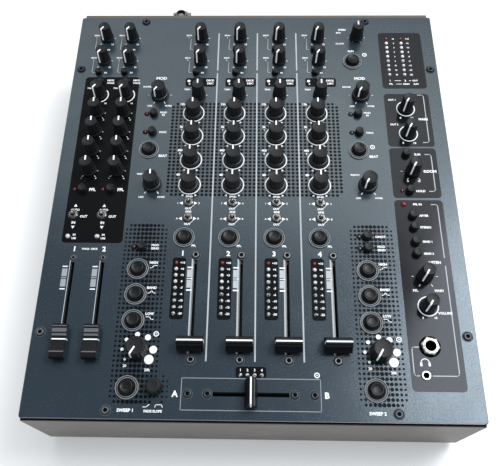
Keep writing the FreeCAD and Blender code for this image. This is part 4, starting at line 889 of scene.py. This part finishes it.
class Ink:
    """Gathers flat shapes, in millimetres from the panel's middle, for one sheet of ink."""

    def __init__(self, lift):
        self.lift, self.points, self.faces = lift, [], []

    def shape(self, outline):
        start = len(self.points)
        self.points += outline
        self.faces.append(tuple(range(start, len(self.points))))

    def bar(self, left, low, right, high):
        self.shape([(left, low), (right, low), (right, high), (left, high)])

    def plate(self, left, low, right, high, radius):
        self.shape(rounded(left, low, right, high, radius))

    def pierced(self, left, low, right, high, radius, holes):
        """A plate with round holes, filled with triangles between its loops."""
        loops = [rounded(left, low, right, high, radius)]
        loops += [[on_circle(x, y, hole, turn) for turn in range(0, 360, 15)] for x, y, hole in holes]
        made, rims = bmesh.new(), []
        for loop in loops:
            corners = [made.verts.new((x, y, 0)) for x, y in loop]
            rims += [made.edges.new(pair) for pair in zip(corners, corners[1:] + corners[:1])]
        filled = bmesh.ops.triangle_fill(made, edges=rims, use_beauty=True, use_dissolve=False)["geom"]
        for face in [item for item in filled if isinstance(item, bmesh.types.BMFace)]:
            self.shape([(corner.co.x, corner.co.y) for corner in face.verts])
        made.free()

    def arc(self, x, y, inner, outer, first=0, last=360, steps=48):
        spread = [first + (last - first) * step / steps for step in range(steps + 1)]
        for one, two in zip(spread, spread[1:]):
            self.shape([on_circle(x, y, inner, one), on_circle(x, y, outer, one),
                        on_circle(x, y, outer, two), on_circle(x, y, inner, two)])

    def disc(self, x, y, radius, corners=24):
        self.shape([on_circle(x, y, radius, 360 * step / corners) for step in range(corners)])

    def line(self, width, *points):
        for (x0, y0), (x1, y1) in zip(points, points[1:]):
            long = math.hypot(x1 - x0, y1 - y0)
            dx, dy = (x1 - x0) / long * width / 2, (y1 - y0) / long * width / 2
            self.shape([(x0 - dx + dy, y0 - dy - dx), (x1 + dx + dy, y1 + dy - dx),
                        (x1 + dx - dy, y1 + dy + dx), (x0 - dx - dy, y0 - dy + dx)])

    def wedge(self, x, y, size, turn):
        self.shape([on_circle(x, y, size, turn + step) for step in (0, 120, 240)])

    def word(self, text, x, y, height=1.7, heavy=0.0):
        outline, faces = lettering(text, height * WORD_SCALE, STROKE * height + heavy)
        start = len(self.points)
        self.points += [(x + u, y + v) for u, v in outline]
        self.faces += [tuple(start + number for number in face) for face in faces]

    def words(self, x, y, *rows):
        """Each row is a word, its step from x and y, its height, and how much heavier it is."""
        for text, step_x, step_y, *size in rows:
            self.word(text, x + step_x, y + step_y, *size)

    def lay(self, name, coat, place=None):
        mesh = bpy.data.meshes.new(name)
        mesh.from_pydata([(x * MM, y * MM, self.lift * MM) for x, y in self.points], [], self.faces)
        face_up(mesh)
        mesh.transform(place or Matrix.Translation(PANEL))
        print(name, len(mesh.polygons), "faces")
        piece(name, mesh, finishes=[coat])


letters = {}


def lettering(text, height, heavy):
    """Corner points in millimetres about the word's middle, and faces."""
    if (text, height, heavy) not in letters:
        curve = bpy.data.curves.new("word", "FONT")
        curve.body, curve.size, curve.offset, curve.resolution_u = text, height / CAPITAL_SHARE, heavy, 2
        word = bpy.data.objects.new("word", curve)
        scene.collection.objects.link(word)
        mesh = bpy.data.meshes.new_from_object(word.evaluated_get(bpy.context.evaluated_depsgraph_get()))
        outline = [(corner.co.x, corner.co.y) for corner in mesh.vertices]
        middle_x = (min(x for x, _ in outline) + max(x for x, _ in outline)) / 2
        middle_y = (min(y for _, y in outline) + max(y for _, y in outline)) / 2
        letters[text, height, heavy] = ([(x - middle_x, y - middle_y) for x, y in outline],
                                        [tuple(face.vertices) for face in mesh.polygons])
        bpy.data.objects.remove(word)
        bpy.data.curves.remove(curve)
        bpy.data.meshes.remove(mesh)
    return letters[text, height, heavy]


print("ink ready")

# %% [markdown]
# ## Black areas
# Black plates of ink mark off the microphone strip, the meters and the source labels. The blocks of the
# right column are a glossier charcoal. They go down first.

# %% Black plates
black = Ink(FIELD_LIFT)
black.plate(-148.3, -48.9, -100.9, 111.7, 3)
for c in CHANNELS:
    black.plate(c - 8.7, 101.5, c + 17.9, 110.9, 2)
    black.plate(c - 9.3, -109.7, c + 0.9, -60.6, 2.3)
black.plate(-11.3, -151.9, 10.2, -143.9, 2)
for x, rows in zip(FILTERS, (SWITCH_ROWS, (*SWITCH_ROWS, EXTRA_SWITCH))):
    for y in rows:
        black.disc(x - LAMP_SHIFT, y, 2.3)
black.lay("black_plates", black_ink)
charcoal = Ink(FIELD_LIFT)
for low, high in ((99.7, 162.2), (40.3, 93.9), (-7.8, 38.7)):
    charcoal.plate(110.9, low, 148.9, high, 3)
charcoal.pierced(110.9, -159.8, 148.9, -9.7, 3, [(*PHONES, 4.6), (*MINI_PHONES, 3.1)])
charcoal.lay("charcoal_plates", charcoal_ink)

# %% [markdown]
# ## Dot screens
# Behind the equaliser and down both filter columns the paint carries a screen of black dots. In the filter
# columns the dots shrink from the middle to the edges, as a half tone does. That is a rule, so a tree makes
# the grid, sizes each dot by its distance from the middle line, leaves the corners out and makes the dots
# real. A dot is one flat twelve-sided face, because there are nearly two thousand.

# %% The dot tree
DOT_CORNERS, DOT_FALL = 12, 1.3
dot_tree, (_, columns, rows, across, down, middle_dot, edge_dot, coat), end = new_tree("dot_screen", {
    "Columns": "Int", "Rows": "Int", "Across": "Float", "Down": "Float", "Middle": "Float", "Edge": "Float",
    "Finish": "Material"})
half_x, half_y = (columns - 1) * across / 2, (rows - 1) * down / 2
grid = columns.node("GeometryNodeMeshGrid", None, {"Size X": half_x * 2, "Size Y": half_y * 2,
                                                  "Vertices X": columns, "Vertices Y": rows})
x, y, _ = parts_of(grid.node("GeometryNodeInputPosition"))
far_x, far_y = x.math("ABSOLUTE"), y.math("ABSOLUTE")
corner = far_x.math("GREATER_THAN", half_x - across / 2) * far_y.math("GREATER_THAN", half_y - down / 2)
kept = grid.node("GeometryNodeDeleteGeometry", None, {"Geometry": grid, "Selection": corner})
radius = middle_dot + (edge_dot - middle_dot) * (far_x / half_x) ** DOT_FALL
dot = grid.node("GeometryNodeMeshCircle", {"fill_type": "NGON"}, {"Vertices": DOT_CORNERS, "Radius": 1.0})
dots = kept.node("GeometryNodeInstanceOnPoints", None, {"Points": kept, "Instance": dot, "Scale": radius})
real = dots.node("GeometryNodeRealizeInstances", None, {"Geometry": dots})
real.node("GeometryNodeSetMaterial", None, {"Geometry": real, "Material": coat}).into(end, 0)


def dot_screen(name, middle_x, middle_y, columns, rows, across, down, middle, edge):
    made = grow(name, bpy.data.meshes.new(name), dot_tree, Columns=columns, Rows=rows, Across=across * MM,
                Down=down * MM, Middle=middle * MM, Edge=edge * MM, Finish=black_ink)
    face_up(made)
    made.transform(Matrix.Translation(at(middle_x, middle_y, FIELD_LIFT)))
    print(name, len(made.polygons), "dots")
    piece(name, made)


dot_screen("equaliser_dots", 0.55, 38.5, 41, 27, 3.48, 3.42, 1.24, 1.24)
for number, middle in ((1, -82.75), (2, 90.85)):
    dot_screen(f"filter_{number}_dots", middle, -101.4, 11, 39, 3.09, 3.57, 1.54, 0.88)
dot_screen("filter_1_side_dots", -61.9, -160.2, 3, 6, 3.09, 3.57, 0.85, 0.68)

# %% [markdown]
# ## White lines and marks
# White ink carries the lines between the channels, the rings round the equaliser knobs, the fader scales, the
# brackets of the right column and the marks of every dial. They are listed by kind, and repeated for each
# channel.

# %% Lines, rings and scales
white, grey, dim = Ink(TOP_LIFT), Ink(LINE_LIFT), Ink(LINE_LIFT)
for x in (-32.6, 2.2, 37.0):
    grey.bar(x - 0.55, 119.3, x + 0.55, 162)
    grey.bar(x - 0.55, -140.3, x + 0.55, 116.3)
for c, f in zip(CHANNELS, FADERS):
    for y in EQ_ROWS:
        white.arc(c, y, 8.3, 9.15)
        white.wedge(c - 5.1, y - 9.7, 1.2, 180)
        white.wedge(c + 5.1, y - 9.7, 1.2, 0)
    for y in SEND_ROWS:
        grey.line(0.5, (c - 6.2, y - 1), (c - 6.6, y - 12.6), (c - 3.6, y - 13.6))
    for y in (*SEND_ROWS, 92.3):
        white.bar(c + 9.6, y - 0.25, c + 10.9, y + 0.25)
    white.disc(c - 5.8, 107.6, 1.35)
    white.disc(c - 5.2, 104.4, 0.65)
    for y in TOGGLE_ROWS:
        white.wedge(c - 5.3, y - 1, 1.8, 180)
        white.wedge(c + 5.3, y - 1, 1.8, 0)
        white.line(0.4, (c + 2.4, y - 4.8), (c + 4.4, y - 2.6))
    grey.bar(f - 2.7, -135, f - 1.6, -61.5)
    for y in (-68.7, -86.9):
        white.bar(f - 5.8, y - 0.55, f - 1.6, y + 0.55)
    grey.bar(f - 5.8, -76.7, f - 2.7, -70.5)
    grey.bar(f - 5.8, -85, f - 2.7, -78.9)
    white.bar(f - 5.8, -78.1, f - 1.6, -77.5)
for m, f in zip(MICS, MIC_FADERS):
    grey.bar(f - 2.15, -132.5, f - 1.6, -63.5)
    for y in (-68.7, -86.9):
        white.bar(f - 7.2, y - 0.45, f - 3.2, y + 0.45)
    dim.bar(f - 7.2, -76.7, f - 3.2, -70.5)
    dim.bar(f - 7.2, -85, f - 3.2, -78.9)
    grey.bar(f - 7.2, -78, f - 3.2, -77.5)
    white.arc(m, 92.3, 6.9, 7.8, -75, 40, 20)
    for y in SEND_ROWS:
        white.bar(m + 6.2, y - 0.25, m + 7.4, y + 0.25)
        grey.line(0.5, (m - 9.7, y - 1), (m - 9.9, y - 12.6), (m - 7, y - 13.6))
    for y in MIC_EQ_ROWS:
        white.bar(m + 6.2, y - 0.2, m + 7.2, y + 0.2)
        for side in (-1, 1):
            white.line(0.4, (m + side * 4.6, y - 4.6), (m + side * 5.4, y - 5.4))
    white.wedge(m - 7, -16.6, 1.6, 90)
    white.wedge(m - 7, -35.2, 1.6, 270)
SWEEP_TURNS = (-140, -180, -220, -265, -307, -360, -400)
SWEEP_DOTS = (0.9, 1.2, 1.4, 1.8, 2.2, 2.8, 3.4)
SLOPES = (((-2.6, -1), (-1.2, -1), (0.2, 0.9), (2.6, 0.9)),
          ((-2.6, -1), (-1.3, -0.8), (0, 1), (1.3, -0.8), (2.6, -1)),
          ((-2.6, 0.9), (-0.2, 0.9), (1.2, -1), (2.6, -1)))
for x in FILTERS:
    for side in (-1, 1):
        white.bar(x + side * 9.8 - 0.6, 92, x + side * 9.8 + 0.6, 92.4)
        white.line(0.5, (x + side * 4.2, 85), (x + side * 4.9, 83.6))
        white.line(0.7, (x + side * 4.6, -3.6), (x + side * 5.6, -4.9))
    for turn, radius in zip(SWEEP_TURNS, SWEEP_DOTS):
        white.disc(*on_circle(x, -132.4, 11.2, turn), radius)
    for y, slope in zip((-68.3, -88.6, -108.9), SLOPES):
        white.line(0.5, *[(x + 6.7 + u, y + v) for u, v in slope])
for x, y in ((-69.2, -120.8), (97.4, 136.9), (97.6, 39.7), (104.8, -123), (45.6, -149.4)):
    white.arc(x, y, 1.25, 2.0, steps=24)
    white.disc(x, y, 0.5, 12)
for x in (83.3, 98):
    white.bar(x, 156.5, x + 1.2, 156.9)
white.line(0.4, (87.6, 151.5), (88.2, 152.3))
white.line(0.4, (94.9, 151.5), (94.3, 152.3))
for y, radius in ((78.4, 7.0), (53.2, 7.0), (-97.8, 6.9)):
    white.arc(MASTER_X, y, radius, radius + 0.85)
for y in (16.7, -74.4):
    for side in (-1, 1):
        white.bar(MASTER_X + side * 9 - 0.7, y - 0.2, MASTER_X + side * 9 + 0.7, y + 0.2)
        white.line(0.5, (MASTER_X + side * 4.2, y - 6.6), (MASTER_X + side * 5, y - 7.8))
for top, low in ((92.8, 44.4), (32.8, -1.7)):
    grey.line(0.7, (139.8, top), (143.4, top), (144.6, top - 1.2), (144.6, low + 1.2))
    grey.line(0.7, (144.6, low + 1.2), (143.4, low), (139.8, low))
grey.line(0.7, (139.8, -13.6), (143.4, -13.6), (144.6, -14.8), (144.6, -59))
grey.line(0.7, (144.6, -66), (144.6, -147.6), (143.4, -148.8), (126.2, -148.8))
grey.line(0.7, (118.2, -128.3), (114.5, -128.3), (113.3, -129.5), (113.3, -147.6), (114.5, -148.8),
          (116.8, -148.8))
white.arc(121.7, -139.6, 2.6, 3.2, 0, 180, 20)
for x in (118.8, 124.6):
    white.bar(x - 0.75, -142, x + 0.75, -139.2)
white.line(0.5, (-74.6, -172.6), (-72.5, -172.6), (-70.4, -171))
white.line(0.5, (-66.4, -172.6), (-65.9, -171), (-61.8, -171), (-61.3, -172.6))
# A dim line round the crossfader plate is a painted highlight on the plate's edges.
dim.line(0.45, (-48.9, -174.3), (-48.9, -152.3), (47.9, -152.3), (47.9, -174.3), (-48.9, -174.3))
white.lay("white_marks", white_ink)
grey.lay("grey_lines", grey_ink)
dim.lay("dim_blocks", dim_ink_and_highlight)

# %% [markdown]
# ## Numbers and plain words
# The legends are plain numbers and short general words, picked for this model: channel and scale numbers,
# frequencies, in and out, less and more. Everything else on the paint stays bare.

# %% Legends
legend = Ink(TOP_LIFT)
LEVELS = ("+10", "+6", "+3", "0", "-3", "-6", "-10", "-15", "-20")
for number, c in enumerate(CHANNELS, start=1):
    for row, y in enumerate(SEND_ROWS, start=1):
        legend.words(c, y, ("SEND", -8.2, 3.4, 1.35), (str(row), -8.2, 0.7, 1.3), ("0", -1.8, -7.2, 1.6),
                     ("10", 8.7, -7.2, 1.6), ("IN", 5.6, -13.3, 1.5))
    for y, text in zip(EQ_ROWS, ("12k", "3k", "400", "80")):
        legend.word(text, c - 9.6, y + 9.3, 1.8, 0.03)
    for y, text, left, right in zip(TOGGLE_ROWS, ("SEND", "SIDE"), "1A", "2B"):
        legend.words(c, y, (text, 0.3, 5.0, 1.5, 0.03), ("OUT", 0, -5.8, 1.5, 0.03), (left, -8.4, -1, 1.4),
                     (right, 8.4, -1, 1.4))
    for text, y in zip(LEVELS, METER_ROWS):
        legend.word(text, c - 1.6, y, 1.5)
    legend.words(c, 0, ("DECK", 13, 108.2, 1.7, 0.02), ("DISC", 13, 105, 1.7, 0.02), ("TRIM", -7, 98.4, 1.5),
                 ("1", -9.6, 56.3, 1.5), ("2", -9.6, 32.9, 1.5), ("PFL", 6, -50.6, 1.5, 0.02),
                 (str(number), -2, -57, 3.6, 0.03))
    legend.word(str(number), 5 * number - 13, -146.2, 1.6)
for number, m in enumerate(MICS, start=1):
    for row, y in enumerate(SEND_ROWS, start=1):
        legend.words(m, y, ("SEND", -9.8, 3.4, 1.35), (str(row), -9.8, 0.7, 1.3), ("0", -5.2, -7.2, 1.5),
                     ("10", 5.4, -7.2, 1.5), ("IN", 2.4, -13.3, 1.5))
    for y in MIC_EQ_ROWS:
        legend.words(m, y - 7, ("-", -6, 0, 1.5), ("+", 6, 0, 1.5))
    legend.words(m, 0, ("DECK", 8, 108.2, 1.5, 0.02), ("VOICE", 8, 105.2, 1.4, 0.02),
                 ("TRIM", -9.6, 99.6, 1.3), ("10", 5.8, 83.4, 1.4), ("PFL", 4.6, -1.7, 2.3, 0.02),
                 ("AUTO", -7, -20.2, 1.6), ("OUT", 0.4, -26, 1.8), ("IN", -7, -31.5, 1.9),
                 ("IN", -5, -42, 1.4), ("USE", -5, -45, 1.4), (str(number), -3.1, -54, 3.6, 0.03))
for number, x in enumerate(FILTERS, start=1):
    legend.words(x, 0, ("MOD", 0.3, 110.5, 2.6), ("RANGE", -11.6, 101.3, 1.4), ("LESS", -8, 81, 1.4),
                 ("MORE", 8, 81, 1.4), ("MOD", 4.4, 74, 1.6), ("IN", 4.4, 71.4, 1.6),
                 ("SYNC", 5.2, 53.8, 1.6), ("BEAT", 6.8, 30.5, 2.0), ("WIDTH", -9.8, 13, 1.4),
                 ("LESS", -8, -8.2, 1.4), ("MORE", 8, -8.2, 1.4), ("MOD", 6.6, -50.4, 1.6),
                 ("SEND", 6.6, -53.2, 1.6), ("HIGH", 6.6, -65, 1.7, 0.02), ("BAND", 6.6, -85.3, 1.7, 0.02),
                 ("LOW", 6.6, -105.6, 1.7, 0.02), ("20", -8.3, -144.2, 1.7), ("20k", 8, -147, 1.7),
                 (f"SWEEP {number}", -5.2, -175, 2.0, 0.02))
legend.words(0, 0, ("VOICE - DECK", -125.4, -54, 1.25, 0.02), ("DIRECT", 98, -42, 1.5),
             ("FADE SLOPE", -67.6, -175.4, 1.5, 0.02), ("SPEED", 79, 166, 1.7), ("BPM", 75.5, 162.4, 1.5),
             ("CLOCK", 76.5, 149.7, 1.5), ("RUN", 85.5, 141, 1.6, 0.02))
for text, y in zip(LEVELS, MASTER_ROWS):
    legend.words(0, y, (text.strip("+-"), 124.2, 0, 1.15, 0.03), (text, 136.6, 0, 1.4))
for text, x, y, height in (
        ("1", LEFT_METER, 108.3, 1.6), ("2", RIGHT_METER, 108.3, 1.6), ("OUT", 139.4, 108.3, 1.4),
        ("PFL", 118.4, 104.6, 1.4), ("MAIN", 131.4, 104.6, 1.4), ("SUM", 139.8, 104.6, 1.4),
        ("OUT 1", 117.4, 87.7, 1.5), ("OUT 2", 117.4, 62.3, 1.5), ("MAIN", 142, 67.7, 2.0),
        ("0", 123.2, 69.1, 1.6), ("10", 132.8, 69.1, 1.6), ("0", 123.2, 43.9, 1.6), ("10", 132.8, 43.9, 1.6),
        ("ROOM", 142.2, 16.7, 2.2), ("SUM", 133.5, 32.7, 1.7), ("0", 123.6, 7.6, 1.5),
        ("10", 132.6, 7.6, 1.5), ("HOLD", 133, -1.5, 1.7), ("PFL IN", 129, -13.5, 1.6),
        ("AFTER", 133, -23.5, 1.6), ("STEREO", 133.4, -33.6, 1.6), ("SEND 1", 133.4, -45.8, 1.5),
        ("SEND 2", 133.4, -55.8, 1.5), ("LISTEN", 137, -63, 1.9), ("PFL", 120.4, -85.6, 1.7),
        ("MAIN", 137.6, -85.6, 1.7), ("VOLUME", 140, -103, 1.7), ("0", 123.7, -106.6, 1.5),
        ("10", 133, -106.6, 1.5), ("A", -53.2, CROSS_Y, 3.8), ("B", 52.2, CROSS_Y, 3.8)):
    legend.word(text, x, y, height, 0.02)
legend.bar(121.8, 108, 127.2, 108.5)
legend.bar(134, 108, 136, 108.5)
legend.bar(122.8, 104.3, 127.6, 104.8)
legend.lay("legends", white_ink)

# %% [markdown]
# ## Sockets
# The headphone jack on the panel and the four output jacks at the back are one design: a black washer, a
# bright hexagon nut, and a bushing with a dark bore. The same shapes are laid on both faces; the tree's
# facing input turns them to the back.

# %% Jacks
BACK = (-math.pi / 2, 0, 0)
rear_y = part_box("rear_panel")[1].y


def behind(x, z):
    return Vector((x * MM, rear_y, z * MM))


washer = hoop("washer", [(4.55, 0.9), (6.9, 0.9), (7.4, 0.75), (7.7, 0.4), (7.7, 0.02), (4.55, 0.02)], 48)
jack_nut = hoop("jack_nut", [
    (4.55, 2.55), (4.75, 2.7), (5.6, 2.7), (6.0, 2.35, "hex"), (6.0, 0.92, "hex"), (4.55, 0.92)], 48)
jack_rim = hoop("jack_rim", [
    (3.85, 2.8), (4.0, 3.15), (4.3, 3.15), (4.5, 2.9), (4.5, -2.0), (3.85, -2.0)], 40)
jack_bore = turned("jack_bore", [
    (0, -29.6), (3.26, -29.6), (3.26, 1.4), (3.8, 2.75), (3.84, 2.75), (3.84, -30), (0, -30)], 32)
jack_back = [behind(x, z) for x in (79, 97) for z in (37, 57)]
for label, mesh, coat in (("washer", washer, bore_black_and_shade), ("nut", jack_nut, nut_steel),
                          ("rim", jack_rim, nut_steel), ("bore", jack_bore, bore_black_and_shade)):
    lay(f"headphone_{label}", mesh, [at(*PHONES)], coat, turn=JACK_TURN, slot="plated",
        replaces=["headphone_sockets"] if label == "rim" else [])
    lay(f"output_{label}s", mesh, jack_back, coat, facing=BACK, slot="plated",
        replaces=["rear_sockets"] if label == "rim" else [])
mini_rim = hoop("mini_rim", [
    (2.05, 0.9), (2.2, 1.1), (3.1, 1.1), (3.35, 0.85), (3.35, 0.04), (3.0, 0.04), (3.0, -2), (2.05, -2)], 32)
mini_bore = turned("mini_bore", [
    (0, -14), (1.81, -14), (1.81, 0.4), (2.0, 0.85), (2.04, 0.85), (2.04, -14.4), (0, -14.4)], 24)
lay("mini_rim", mini_rim, [at(*MINI_PHONES)], inner_steel, slot="plated")
lay("mini_bore", mini_bore, [at(*MINI_PHONES)], bore_black_and_shade, slot="plated")

# %% [markdown]
# ## The back
# Sixteen phono sockets in pairs, two microphone inputs and a mains inlet fill the back. A phono socket is a
# bright barrel on a black flange, with a red or a white insert for the side that it carries.

# %% Phono and microphone sockets
phono_flange = hoop("phono_flange", [(4.2, 1.5), (5.2, 1.5), (5.6, 1.1), (5.6, 0.02), (4.2, 0.02)], 32)
phono_barrel = hoop("phono_barrel", [
    (3.3, 9.8), (3.5, 10), (3.95, 10), (4.15, 9.8), (4.15, 2.2), (4.0, 1.9), (4.15, 1.6), (4.15, 0.1),
    (3.3, 0.1)], 32)
phono_insert = hoop("phono_insert", [
    (1.3, 9.3), (1.5, 9.5), (3.1, 9.5), (3.28, 9.3), (3.28, 1), (1.3, 1)], 32)
phono_pin = turned("phono_pin", [(0, 3.2), (1.29, 3.2), (1.29, 9.0), (1.45, 9.0), (1.45, 3.0), (0, 3.0)], 20)
red_places, white_places = ([behind(-48 + 15 * number, z) for number in range(8)] for z in (37, 57))
phono_places = [spot for pair in zip(red_places, white_places) for spot in pair]


def plate(name, width, height, radius, low, high, edge):
    """A rounded plate with a chamfered front edge."""
    made = bmesh.new()
    rings = [[made.verts.new(Vector((x, y, z)) * MM)
              for x, y in rounded(-width / 2, -height / 2, width / 2, height / 2, radius, inset)]
             for inset, z in ((0, low), (0, high - edge), (edge, high))]
    return skinned(name, made, rings)


mic_places = [behind(x, 46) for x in (-128, -96)]
mic_plate = plate("mic_plate", 26, 31, 3.5, 0.02, 2.0, 0.5)
mic_shell = hoop("mic_shell", [(8.7, 2.1), (8.9, 3.4), (9.9, 3.4), (10.4, 2.9), (10.4, 1.9), (8.7, 1.9)], 48)
mic_insert = turned("mic_insert", [(0, 2.5), (7.6, 2.5), (8.0, 2.2), (8.0, 1.9), (0, 1.9)], 40)
mic_contact = turned("mic_contact", [
    (0, 2.35), (1.0, 2.35), (1.0, 2.62), (1.5, 2.62), (1.6, 2.5), (1.6, 2.3), (0, 2.3)], 20)
contacts = [on_circle(0, 0, 4.6, turn) for turn in (90, 210, 330)]
contact_places = [spot + Vector((x, 0, z)) * MM for spot in mic_places for x, z in contacts]
for name, mesh, places, coat in (
        ("phono_flanges", phono_flange, phono_places, socket_black),
        ("phono_barrels", phono_barrel, phono_places, nickel),
        ("phono_contacts", phono_pin, phono_places, nickel),
        ("phono_red_inserts", phono_insert, red_places, red_plastic),
        ("phono_white_inserts", phono_insert, white_places, white_plastic),
        ("mic_plates", mic_plate, mic_places, socket_black), ("mic_shells", mic_shell, mic_places, nickel),
        ("mic_inserts", mic_insert, mic_places, socket_black),
        ("mic_contacts", mic_contact, contact_places, nickel)):
    lay(name, mesh, places, coat, facing=BACK, slot="plated")
rear_screws = [spot + Vector((x, 2, z)) * MM for spot in mic_places for x, z in ((-9.8, 12.3), (9.8, -12.3))]
rear_screws += [behind(x, z) for x in (-150, -10, 112) for z in (16, 78)]
lay_screws("rear", rear_screws, black_steel, rubbed_steel, facing=BACK, size=0.8)

# %% [markdown]
# ## Mains inlet and rocker
# The inlet's moulding is good as CAD made it. Its three blades are bright, so they get thin sleeves of their
# own, and the rocker gets a dished paddle with the two usual marks.

# %% Blades and rocker
BLADES = ((-7, -15), (7, -15), (0, -9))
ROCKER_RISE, ROCKER_REST = 14, math.radians(-98)
inlet_low, inlet_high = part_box("mains_inlet")
inlet_x, inlet_z = (inlet_low.x + inlet_high.x) / 2, (inlet_low.z + inlet_high.z) / 2
blade = plate("blade", 2.1, 4.1, 0.3, -14.2, -4.9, 0.3)
blade_places = [Vector((inlet_x + x * MM, rear_y, inlet_z + z * MM)) for x, z in BLADES]
lay("mains_blades", blade, blade_places, nickel, facing=BACK, slot="plated")
paddle_section = mirrored([(9.5, -2.9), (9.5, 3.9), (9.1, 4.7), (8.4, 4.95), (5.5, 4.55), (2.5, 4.25),
                           (0.4, 4.2)])
made = bmesh.new()
rings = [[made.verts.new(Vector((x, y, z - inset if z > 0 else z)) * MM) for y, z in paddle_section]
         for x, inset in ((-6.5, 0.4), (-6.1, 0), (6.1, 0), (6.5, 0.4))]
paddle = skinned("paddle", made, rings, angle=30, split=True)
on_mark = ribbon("on_mark", [(-1.6, 5.5, 4.58), (1.6, 5.5, 4.58)], TO_FRONT, 0.7, 0.08, 0.3)
off_mark = hoop("off_mark", [(1.1, 0.1), (1.75, 0.1), (1.75, -0.3), (1.1, -0.3)], 24)
rocker_turn = Matrix.Translation(Vector((inlet_x, rear_y, inlet_z + ROCKER_RISE * MM)))
rocker_turn @= Matrix.Rotation(ROCKER_REST, 4, "X")
off_place = Matrix.Translation(Vector((0, -5.5, 4.57)) * MM) @ Matrix.Rotation(math.radians(-6.8), 4, "X")
piece("rocker_paddle", joined("rocker_paddle", [(paddle, rocker_turn, 0), (on_mark, rocker_turn, 1),
                                                (off_mark, rocker_turn @ off_place, 1)]),
      "mains_rocker", "socket_black", ["mains_rocker"], [socket_black, white_ink])

# %% [markdown]
# ## Case details
# The case's rear edge is folded out a little behind the panel. A thin front sheet stands a finger nail's
# width before the panel's front edge. Along that edge runs a strip of lighter paint, a painted highlight
# where the edge catches the light. A near black gasket closes the joint between them and along the sides; it
# is partly a gasket and partly the painted shadow of the joint. Screws along the sides hold the case, and
# plain numbers and letters at the back tell the sockets apart.

# %% Rear fold, front sheet, front edge highlight and gaskets with painted shade
rear_fold = ribbon("rear_fold", [(-157, 182.5, -1.8), (157, 182.5, -1.8)], TO_FRONT, 3.4, 1.1, 0.15)
# The gaskets are near black: partly a gasket, partly painted shadow in the joint between panel and case.
gasket_path = [(159.55, 180, -3.8), (159.55, -180.55, -3.8), (-159.55, -180.55, -3.8), (-159.55, 180, -3.8)]
gasket_shade = ribbon("gasket_shade", gasket_path, TO_TOP, 3.5, 0.06, 0.4)
joint_path = [(-159, -181.25, -2.55), (159, -181.25, -2.55)]
front_gasket = ribbon("front_gasket", joint_path, TO_FRONT, 1.6, 0.3, 0.5)
# The front edge strip is lighter paint, a painted highlight.
front_edge = ribbon("front_edge", [(157.5, -181, -0.85), (-157.5, -181, -0.85)], TO_TOP, 1.6, 0.05, 0.3)
front_sheet = plate("front_sheet", 319, 74.6, 1.2, 0, 2.1, 0.4)
upright = Matrix.Rotation(math.pi / 2, 4, "X")
front_sheet.transform(Matrix.Translation(Vector((0, -180.52, -40)) * MM) @ upright)
for name, mesh, coat in (("rear_fold", rear_fold, case_paint), ("panel_gasket", gasket_shade, bore_black_and_shade),
                         ("front_gasket", front_gasket, bore_black_and_shade), ("front_edge", front_edge, edge_highlight_paint),
                         ("front_sheet", front_sheet, case_paint)):
    mesh.transform(Matrix.Translation(PANEL))
    piece(name, mesh, slot="case_paint", finishes=[coat])
print("fold and gasket")

# %% Side screws and rear numbers
for side, name in ((-1, "left"), (1, "right")):
    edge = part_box("base_tray")[1 if side > 0 else 0].x
    places = [Vector((edge, PANEL.y + y * MM, z * MM)) for y in (-150, 0, 150) for z in (20, 72)]
    lay_screws(name, places, black_steel, rubbed_steel, facing=(0, side * math.pi / 2, 0))
rear = Ink(LINE_LIFT)
for number in range(8):
    rear.word(str(number // 2 + 1), 48 - 15 * number, 66.5, 3)
for side, z in (("L", 57), ("R", 37)):
    rear.words(0, z, (side, 56.5, 0, 2.6), (side, -69.5, 0, 2.6))
rear.words(0, 0, ("1", -79, 67.5, 3), ("2", -97, 67.5, 3), ("1", 128, 65, 3), ("2", 96, 65, 3))
rear.lay("rear_numbers", white_ink, Matrix(((-1, 0, 0, 0), (0, 0, 1, rear_y), (0, 1, 0, 0), (0, 0, 0, 1))))
